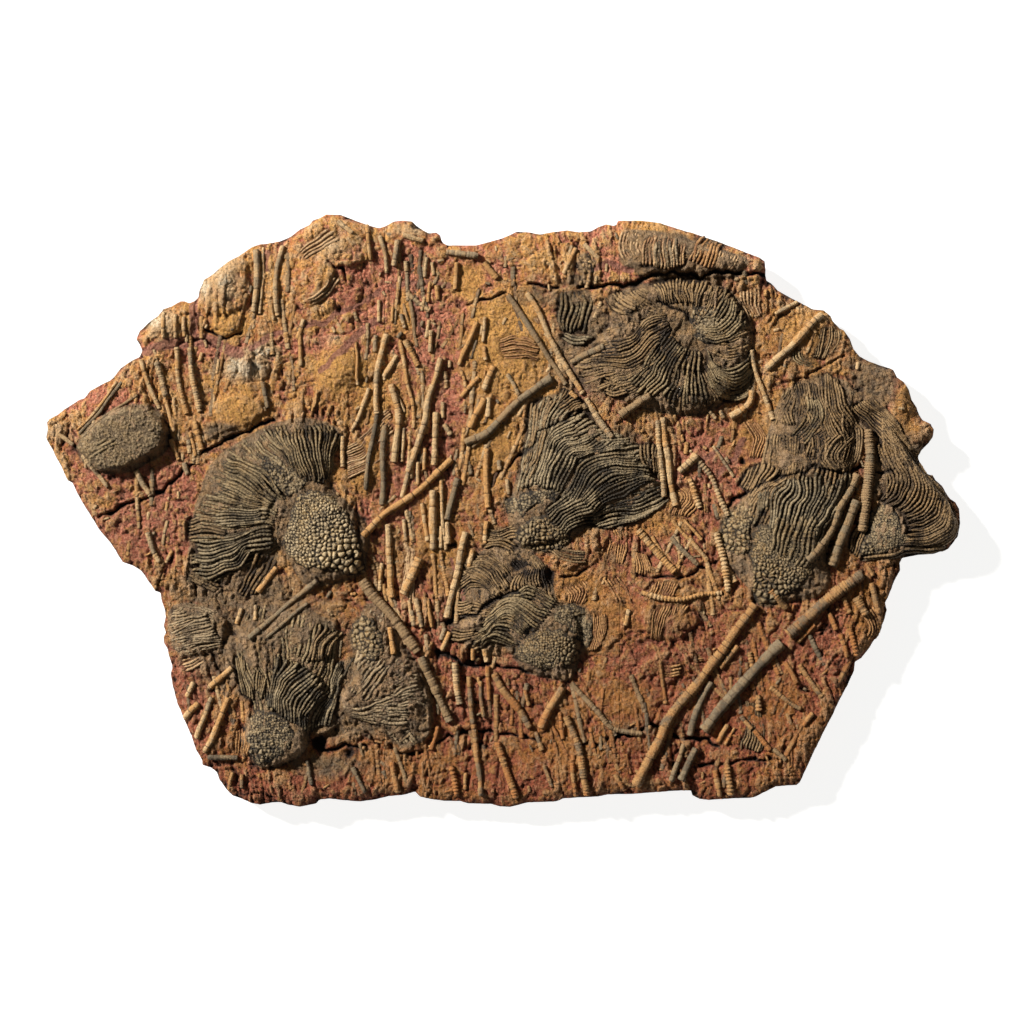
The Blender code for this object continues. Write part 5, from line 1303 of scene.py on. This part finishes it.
def make_crust(name, window):
    """A length of the slab's broken face, sunk into the slab below it."""
    shape = cut_sheet(CRUST_STEP, window)
    places = np.array([vert.co[:] for vert in shape.verts])
    u, v = places[:, 0], places[:, 1]
    height = read(bed, u, v) + face_detail(u, v)[0]
    for vert, level in zip(shape.verts, height):
        vert.co.z = level
    rim = [edge for edge in shape.edges if edge.is_boundary]
    made = bmesh.ops.extrude_edge_only(shape, edges=rim)["geom"]
    for vert in (item for item in made if isinstance(item, bmesh.types.BMVert)):
        vert.co.z = 0.5 * ROCK_DEPTH
    bmesh.ops.triangle_fill(shape, use_beauty=False,
                            edges=[item for item in made if isinstance(item, bmesh.types.BMEdge)])
    to_metres(shape)
    mesh = bpy.data.meshes.new(name)
    shape.to_mesh(mesh)
    shape.free()
    stain(mesh)
    finished(name, mesh, "rock")


def to_metres(shape):
    """Takes a shape from survey squares to metres, with its faces outwards."""
    bmesh.ops.scale(shape, vec=(SQUARE, -SQUARE, 1), verts=shape.verts)
    bmesh.ops.translate(shape, vec=(-MID_U * SQUARE, MID_V * SQUARE, 0), verts=shape.verts)
    bmesh.ops.recalc_face_normals(shape, faces=shape.faces)


def draw_rim_in(shape):
    """Marks each rim point with its place on the outline and the way inwards, eased along the rim."""
    rim_at = shape.verts.layers.float_vector.new("rim_at")
    rim_in = shape.verts.layers.float_vector.new("rim_in")
    rim = [vert for vert in shape.verts if vert.is_boundary]
    for vert in rim:
        ties = [edge.other_vert(vert).co for edge in vert.link_edges if edge.is_boundary]
        side = (ties[1] - ties[0]).xy.orthogonal().normalized()
        middle = sum((cell.calc_center_median().xy for cell in vert.link_faces), vert.co.xy * 0)
        if side.dot(middle / len(vert.link_faces) - vert.co.xy) < 0:
            side.negate()
        vert[rim_at] = vert.co
        vert[rim_in] = (side.x, side.y, 0)
    for _ in range(6):
        eased = [sum((edge.other_vert(vert)[rim_in] for edge in vert.link_edges if edge.is_boundary),
                     vert[rim_in] * 1.0).normalized() for vert in rim]
        for vert, side in zip(rim, eased):
            vert[rim_in] = side


def make_slab():
    """The slab under its crust, with a broken edge and a flat back."""
    shape = cut_sheet(SLAB_STEP, (LEFT, RIGHT))
    draw_rim_in(shape)
    places = np.array([vert.co[:] for vert in shape.verts])
    u, v = places[:, 0], places[:, 1]
    for vert, level in zip(shape.verts, read(bed, u, v) + 0.4 * face_detail(u, v)[0]):
        vert.co.z = level - (1.0 if vert.is_boundary else 3.5) * MM
    rim_at = shape.verts.layers.float_vector["rim_at"]
    rim_in = shape.verts.layers.float_vector["rim_in"]
    rim = [edge for edge in shape.edges if edge.is_boundary]
    tops = {tuple(vert[rim_at].xy): vert.co.z for edge in rim for vert in edge.verts}
    for step, (share, inset) in enumerate(RIM_STEPS):
        made = bmesh.ops.extrude_edge_only(shape, edges=rim)["geom"]
        rim = [item for item in made if isinstance(item, bmesh.types.BMEdge)]
        for vert in (item for item in made if isinstance(item, bmesh.types.BMVert)):
            start = vert[rim_at].xy
            u, v = start
            chip = 1.1 * grain(u, v, 6.5, 70 + step) + 1.0 * grain(u, v, 19, 66)
            vert.co.xy = start + vert[rim_in].xy * float(max(0, inset + chip))
            bump = 1.6 * MM * float(grain(u, v, 13, 80 + step)) if share else 0
            vert.co.z = share * (tops[tuple(start)] + bump)
    bmesh.ops.triangle_fill(shape, use_beauty=False, edges=rim)
    to_metres(shape)
    mesh = bpy.data.meshes.new("mudstone_slab")
    shape.to_mesh(mesh)
    shape.free()
    for layer in ("rim_at", "rim_in"):
        mesh.attributes.remove(mesh.attributes[layer])
    stain(mesh)
    finished("mudstone_slab", mesh, "rock", ["matrix_slab"])


def band_mark(u, v):
    """How strongly places lie in the bands of sandy maroon rock: 1 along their middles."""
    mark = np.zeros(np.shape(u))
    bent_u, bent_v = u + 3 * grain(u, v, 12, 211) + 1.2 * grain(u, v, 4, 213), v + 3 * grain(u, v, 12, 212)
    for width, *run in BANDS:
        mark = np.maximum(mark, np.clip(1.4 - 2.4 * run_distance(bent_u, bent_v, pairs(run)) / width, 0, 1))
    return mark


def zone_mark(u, v, zones):
    """How strongly places lie in the stained zones, each a middle, two half sizes and a strength."""
    mark = np.zeros(np.shape(u))
    for mid_u, mid_v, half_width, half_height, strength in zones:
        mark = np.maximum(mark, strength * blob(u, v, (mid_u, mid_v, half_width, half_height, 0), 0.9))
    return mark


def stain(mesh):
    """Marks the rock's stained zones and lumps, painted shade for its hollows, painted highlight for its
    crests, and how it darkens and rusts towards the lower right, partly as painted fall-off of the light.
    """
    u, v, z = surveyed(mesh)
    low = z - read(smooth_bed, u, v)
    level = face_detail(u, v)[1]
    # Painted shade, with some dirt: the hollows, the gaps under the arms, and a little on the slab's sides.
    gaps = 0.85 * read(arm_cover * (1 - cling), u, v)
    dark = np.maximum((-low / MM - 1.1) / 2.4, gaps)
    lay_mark(mesh, "hollow_shade", np.where(z > 0.6 * ROCK_DEPTH, dark, 0.15))
    # Painted highlight where the rock stands over its smoothed face.
    lay_mark(mesh, "crest_light", (low / MM - 0.2) / 2.2)
    lay_mark(mesh, "tint", level)
    # Darker and rustier towards the lower right: partly rust, partly painted fall-off of the light.
    lay_mark(mesh, "rust_and_falloff", 0.32 * (u - LEFT) / (RIGHT - LEFT) + 0.86 * (v - TOP) / (BOTTOM - TOP) - 0.12)
    lay_mark(mesh, "red", zone_mark(u, v, RED_ZONES) * np.clip(0.98 - 0.22 * low / MM, 0.3, 1)
             + 0.25 * (0.5 - level)
             + 0.46 * np.clip(0.45 - 0.5 * low / MM, 0, 1) - 0.25 * zone_mark(u, v, OCHRE_ZONES))
    lay_mark(mesh, "sandy", band_mark(u, v))
    for name, zones in (("ochre", OCHRE_ZONES), ("pale", PALE_ZONES)):
        lay_mark(mesh, name, zone_mark(u, v, zones))
    lay_mark(mesh, "grey", np.maximum(zone_mark(u, v, GREY_ZONES), 1.35 * read(near_heads, u, v)))


# heads: arms and plates
def make_heads():
    """The arms of every head: a bed of worn arms, and tufts of fresher ones over it."""
    for name, tufts in TUFTS.items():
        head = HEADS[name]
        whole = head["arms"] + (head["arms"][:1] if "hub" in head else ())
        beds = []
        if "bed" in head:
            beds = [(head["bed"], head["pitch"] * 0.85, head.get("sunk", -0.7), *whole)]
        for index, (tone, pitch, lift, *arms) in enumerate([*beds, *tufts]):
            seed = seed_of(name) + 31 * index
            runs = fan_runs(tuft_guides(arms, 90), pitch, seed)
            label = f"arms_of_{name}_{index}" if index else f"arms_of_{name}"
            strands = arm_mesh(label, runs, pitch, lift, seed)
            finished(label, strands, tone, [] if index else [name])
    for index, (tone, pitch, lift, *arms) in enumerate(FANS):
        pitch *= 0.85
        runs = fan_runs(tuft_guides(arms, 60), pitch, 300 + index)
        label = f"broken_arms_{index + 1:02}"
        finished(label, arm_mesh(label, runs, pitch, lift - 1.2, 300 + index), tone)


def plate_mesh(name, stem_u, stem_v, bulge, rough, sizes, outline):
    """A patch of plates that bulges from the face, with grooves between its plates."""
    ring = pairs(outline)
    low, high = ring.min(0) - 1, ring.max(0) + 1
    shape = bmesh.new()
    bmesh.ops.create_grid(shape, x_segments=int((high[0] - low[0]) / PLATE_STEP),
                          y_segments=int((high[1] - low[1]) / PLATE_STEP), size=0.5)
    bmesh.ops.scale(shape, vec=(*(high - low), 1), verts=shape.verts)
    bmesh.ops.translate(shape, vec=(*((low + high) / 2), 0), verts=shape.verts)
    middles = np.array([cell.calc_center_median()[:2] for cell in shape.faces])
    keep = patch_depth(*(middles + swayed(middles, 1.6, 7, 97) - middles).T, outline) > 0
    bmesh.ops.delete(shape, geom=[cell for cell, inside in zip(shape.faces, keep) if not inside],
                     context="FACES")
    bmesh.ops.delete(shape, geom=[vert for vert in shape.verts if not vert.link_faces], context="VERTS")
    u, v = np.array([vert.co[:2] for vert in shape.verts]).T
    depth = patch_depth(*swayed(np.stack([u, v], -1), 1.6, 7, 97).T, outline)
    away = np.hypot(u - stem_u, v - stem_v)
    relief, groove, tint = np.zeros((3, len(u)))
    inner = 0
    bent_u, bent_v = swayed(np.stack([u, v], -1), 0.7 + rough, 6, 91).T
    for limit, size in sizes:
        nearest, second, level = cobbles(bent_u, bent_v, size, 93 + int(size))
        plate = np.clip((second - nearest) * 2.0, 0, 1) ** 0.7 - 0.5 * nearest ** 2 + rough * level
        here = (away >= inner) & (away < limit)
        relief = np.where(here, plate * (0.42 if rough < 0.45 else 0.27) * size * SQUARE, relief)
        groove = np.where(here, plate, groove)
        tint = np.where(here, 0.55 + 0.4 * level, tint)
        inner = limit
    inward = np.clip(depth / 5, 0, 1)
    height = (read(face, u, v) + bulge * MM * np.sqrt(np.clip(depth / 12, 0, 1)) + relief * inward
              - 2.2 * MM * (1 - np.clip(depth / 2.5, 0, 1)) + 0.25 * MM * grain(u, v, 3, 95))
    for vert, level in zip(shape.verts, height):
        vert.co.z = level
    rim = [edge for edge in shape.edges if edge.is_boundary]
    made = bmesh.ops.extrude_edge_only(shape, edges=rim)["geom"]
    bmesh.ops.translate(shape, vec=(0, 0, -2.5 * MM),
                        verts=[item for item in made if isinstance(item, bmesh.types.BMVert)])
    bmesh.ops.triangle_fill(shape, use_beauty=False,
                            edges=[item for item in made if isinstance(item, bmesh.types.BMEdge)])
    to_metres(shape)
    mesh = bpy.data.meshes.new(name)
    shape.to_mesh(mesh)
    shape.free()
    # High in the plates' middles, for painted highlight; low in the grooves and at the rim, for painted
    # shade.
    crest_light = np.zeros(len(mesh.vertices))
    crest_light[:len(relief)] = (0.05 + 1.1 * groove) * inward
    shade = np.full(len(mesh.vertices), 0.3)
    shade[:len(relief)] = tint
    lay_mark(mesh, "crest_light", crest_light)
    lay_mark(mesh, "tint", shade)
    return mesh


def make_plates():
    """The patches of plates at the foot of the heads."""
    for name, (tone, *rest) in PLATES.items():
        finished(name, plate_mesh(name, *rest), tone)


# stems: rods of stacked rings
def stem_tone(finish, run):
    """The finish of a stem: rustier low down on the slab."""
    if finish in ("grey", "close_rings"):
        return "stem_grey"
    return "stem_rust" if pairs(run)[:, 1].mean() + 0.35 * pairs(run)[:, 0].mean() > 850 else "stem_tan"


def stem_rows(width, finish, run, seed, lift=0.32):
    """A stem's run with its rings, bends and joints. Rows: u, v, height, radius, joint, tint."""
    random = np.random.RandomState(seed)
    knots = pairs(run)
    smooth = smooth_run(knots, len(knots) * 12) if len(knots) > 2 else knots
    rows, at = resampled(smooth, STEM_STEP)
    fade = np.clip(np.minimum(at, at[-1] - at) / 12, 0, 1)[:, None]
    rows = rows + (swayed(rows, 0.9, 21, seed) - rows) * fade
    pitch, depth = RINGS[finish]
    joints = [0.0]
    while joints[-1] < at[-1]:
        joints.append(joints[-1] + random.choice((2, 3, 4, 5)) * pitch)
    length = np.searchsorted(joints, at + 0.01)
    open_joint = random.uniform(0.3, 1, len(joints) + 2)
    joint = np.exp(-((at[:, None] - np.array(joints)[None, :]) / 0.62) ** 2)
    joint = (joint * open_joint[:len(joints)]).max(1)
    beat = at + 0.8 * grain(at, at * 0, 9, seed + 1)
    radius = 0.5 * width * (1 + depth * np.cos(beat * 2 * math.pi / pitch) - 0.2 * joint)
    radius *= random.uniform(0.90, 1.08, len(joints) + 2)[length]
    radius *= 1 + 0.08 * grain(at, at * 0, 17, seed + 2) + 0.05 * grain(at, at * 0, 4, seed + 5)
    ends = np.clip(np.minimum(at, at[-1] - at) / 0.5, 0, 1)
    radius *= 0.8 + 0.2 * ends
    tint = random.uniform(0.05, 0.85) + random.uniform(-0.22, 0.22, len(joints) + 2)[length]
    u, v = rows.T
    height = read(seat, u, v) + lift * 0.5 * width * SQUARE + 0.35 * MM * grain(u, v, 12, seed + 3)
    return np.column_stack([u, v, height, radius, joint, tint])


def stem_mesh(name, rows):
    """One mesh of stems from their rows."""
    mesh = rods(name, rows, 2)
    around = len(mesh.vertices) // sum(len(run) for run in rows)
    worn = np.concatenate([run[:, 3] / np.percentile(run[:, 3], 90) for run in rows])
    radius, joint, tint = (np.repeat(np.concatenate([run[:, column] for run in rows]), around)
                           for column in (3, 4, 5))
    u, v, z = surveyed(mesh)
    # How far each point stands over the seat, and how thick the stem is there: low sides and narrow places
    # get painted shade.
    deep = (z - read(seat, u, v)) / (radius * SQUARE)
    bulge_light = np.repeat(np.clip((worn - 0.75) / 0.3, 0, 1), around)
    lay_mark(mesh, "crest_light", 0.3 * bulge_light + 0.75 * np.clip(deep + 0.2, 0, 1))
    lay_mark(mesh, "tint", tint)
    lay_mark(mesh, "joint", joint)
    return mesh


def make_stems():
    """Every stem, and the broken lengths that lie loose among them."""
    for name, (width, finish, *run) in STEMS.items():
        rows = stem_rows(width * STEM_GIRTH, finish, run, seed_of(name))
        tube = stem_mesh("ringed_" + name, [rows])
        finished("ringed_" + name, tube, stem_tone(finish, run), [name])
    loose = {}
    for index, (width, finish, *run) in enumerate(LOOSE):
        rows = stem_rows(width * LOOSE_GIRTH, finish, run, 500 + index, LOOSE_LIFT)
        loose.setdefault(stem_tone(finish, run), []).append(rows)
    for tone, rows in loose.items():
        finished("loose_" + tone, stem_mesh("loose_" + tone, rows), tone)


def make_litter():
    """Broken lengths of stem, half buried in the face between the heads."""
    random = np.random.RandomState(77)
    ring = pairs(OUTLINE)
    closed = np.vstack([ring, ring[:1]])
    taken = np.maximum(cover, np.clip(body / MM - 0.5, 0, 1))
    for lump in LUMPS[:7]:
        taken = np.maximum(taken, blob(grid_u, grid_v, lump[:5]) > 0.42)
    for name, count, widths, lengths, upright, lifts in LITTER:
        heap = {}
        while sum(len(rows) for rows in heap.values()) < count:
            u, v = random.uniform(LEFT, RIGHT), random.uniform(TOP, BOTTOM)
            if not within(np.array(u), np.array(v), ring) or read(taken, u, v) > 0.15:
                continue
            turn = 1.57 + 0.45 * float(grain(u, v, 75, 301)) + random.normal(0, 0.16)
            if random.rand() > upright:
                turn = random.uniform(0, math.pi)
            length = random.uniform(*lengths)
            far = (u + math.cos(turn) * length, v + math.sin(turn) * length)
            if run_distance(np.array([u, far[0]]), np.array([v, far[1]]), closed).min() < 5:
                continue
            if not within(np.array(far[0]), np.array(far[1]), ring) or read(taken, *far) > 0.15:
                continue
            kind = ("tan", "tan", "tan", "ringed", "grey")[random.randint(5)]
            rows = stem_rows(random.uniform(*widths), kind, (u, v, *far), 900 + random.randint(4000),
                             random.uniform(*lifts))
            heap.setdefault(stem_tone(kind, (u, v)), []).append(rows)
        for tone, rows in heap.items():
            finished(f"{name}_{tone}", stem_mesh(name, rows), tone)


arm_cover = np.clip(np.maximum(head_cover * (1 - 0.5 * skin_cover), 0.45 * fan_cover) * 1.3, 0, 1)
cling = buried(grid_u, grid_v)
arm_bed = ARM_BED * arm_cover * (1 - 0.85 * cling)
bed = rock_low + body - arm_bed
smooth_bed = blurred(rock + body - arm_bed, 30)
near_heads = np.maximum(blurred(np.maximum(head_cover, plate_cover), 50),
                        np.minimum(1, blurred(body, 20) / (2.5 * MM)))
seat = blurred(face, 12)

# The slab's side, from the face down: share of the height, and how far it stands in.
RIM_STEPS = ((0.90, 0.6), (0.76, 0.2), (0.60, 0.0), (0.42, 0.8), (0.24, 2.6), (0.09, 4.4), (0.0, 6.0))
CRUST_STEP, SLAB_STEP = 1.25, 3.0            # squares between points of the face and of the body
PLATE_STEP, STEM_STEP = 0.8, 0.66            # and of the cups' plates and along the stems
# The face is made in three windows, each from one survey line to another.
CRUSTS = {"crust_west": (LEFT, 385), "crust_middle": (385, 620), "crust_east": (620, RIGHT)}
# How stems are ringed: squares from ring to ring, and how deep the rings are, as a share of the width.
RINGS = {"close_rings": (2.4, 0.09), "tan": (2.8, 0.035), "grey": (2.8, 0.04), "ringed": (2.6, 0.085),
         "beaded": (3.6, 0.15)}
STEM_GIRTH, LOOSE_GIRTH = 0.93, 0.86         # how thick stems are made, as a share of their width
LOOSE_LIFT = 0.22                            # share of its width by which a loose stem stands out
# Litter: name, how many, widths, lengths, share that lie along the stems, and how deep they lie.
LITTER = (("buried_lengths", 130, (4.6, 6.6), (24, 60), 1.0, (-0.85, -0.35)),
          ("broken_lengths", 120, (4, 6), (8, 22), 0.95, (-0.8, -0.2)),
          ("crumbs", 200, (2.2, 4.2), (3, 9), 0.3, (-0.4, 0.1)))

make_slab()
for name, window in CRUSTS.items():
    make_crust(name, window)
make_heads()
make_plates()
make_stems()
make_litter()


# ---- floor, light and camera --------------------------------------------------------------------
def make_floor():
    """A plain pale floor that lights itself a little, so that shadows on it stay faint."""
    shape = bmesh.new()
    bmesh.ops.create_grid(shape, x_segments=1, y_segments=1, size=3)
    bmesh.ops.translate(shape, vec=(0, 0, -0.0005), verts=shape.verts)
    mesh = bpy.data.meshes.new("pale_floor")
    shape.to_mesh(mesh)
    shape.free()
    floor = bpy.data.objects.new("pale_floor", mesh)
    bpy.context.scene.collection.objects.link(floor)
    board = Finish("pale_board", 0.9)
    board.colour((0.36, 0.36, 0.355))
    board.shader.inputs["Emission Color"].default_value = (0.93, 0.93, 0.92, 1)
    board.shader.inputs["Emission Strength"].default_value = 0.94
    mesh.materials.append(board.material)


def make_light():
    """A soft lamp high on the upper left, and an even fill."""
    lamp = bpy.data.lights.new("studio_lamp", "SUN")
    lamp.energy = 7.6
    lamp.angle = math.radians(5)
    lamp.color = (1.0, 0.975, 0.94)
    holder = bpy.data.objects.new("studio_lamp", lamp)
    holder.rotation_euler = mathutils.Vector((0.68, -0.46, -0.44)).to_track_quat("-Z", "Y").to_euler()
    bpy.context.scene.collection.objects.link(holder)
    world = bpy.data.worlds.new("studio_fill")
    world.use_nodes = True
    world.node_tree.nodes["Background"].inputs["Color"].default_value = (1.0, 0.98, 0.95, 1)
    world.node_tree.nodes["Background"].inputs["Strength"].default_value = 0.10
    bpy.context.scene.world = world


def make_camera():
    """A long lens straight above the slab, with the frame's 1024 squares across at the face."""
    lens = bpy.data.cameras.new("camera")
    lens.lens, lens.sensor_width = 100, 36
    holder = bpy.data.objects.new("camera", lens)
    x, y, _ = metres(512, 512, 0)
    holder.location = (x, y, ROCK_DEPTH + 1024 * SQUARE * lens.lens / lens.sensor_width)
    bpy.context.scene.collection.objects.link(holder)
    bpy.context.scene.camera = holder


make_floor()
make_light()
make_camera()
bpy.context.scene.view_settings.view_transform = "Standard"
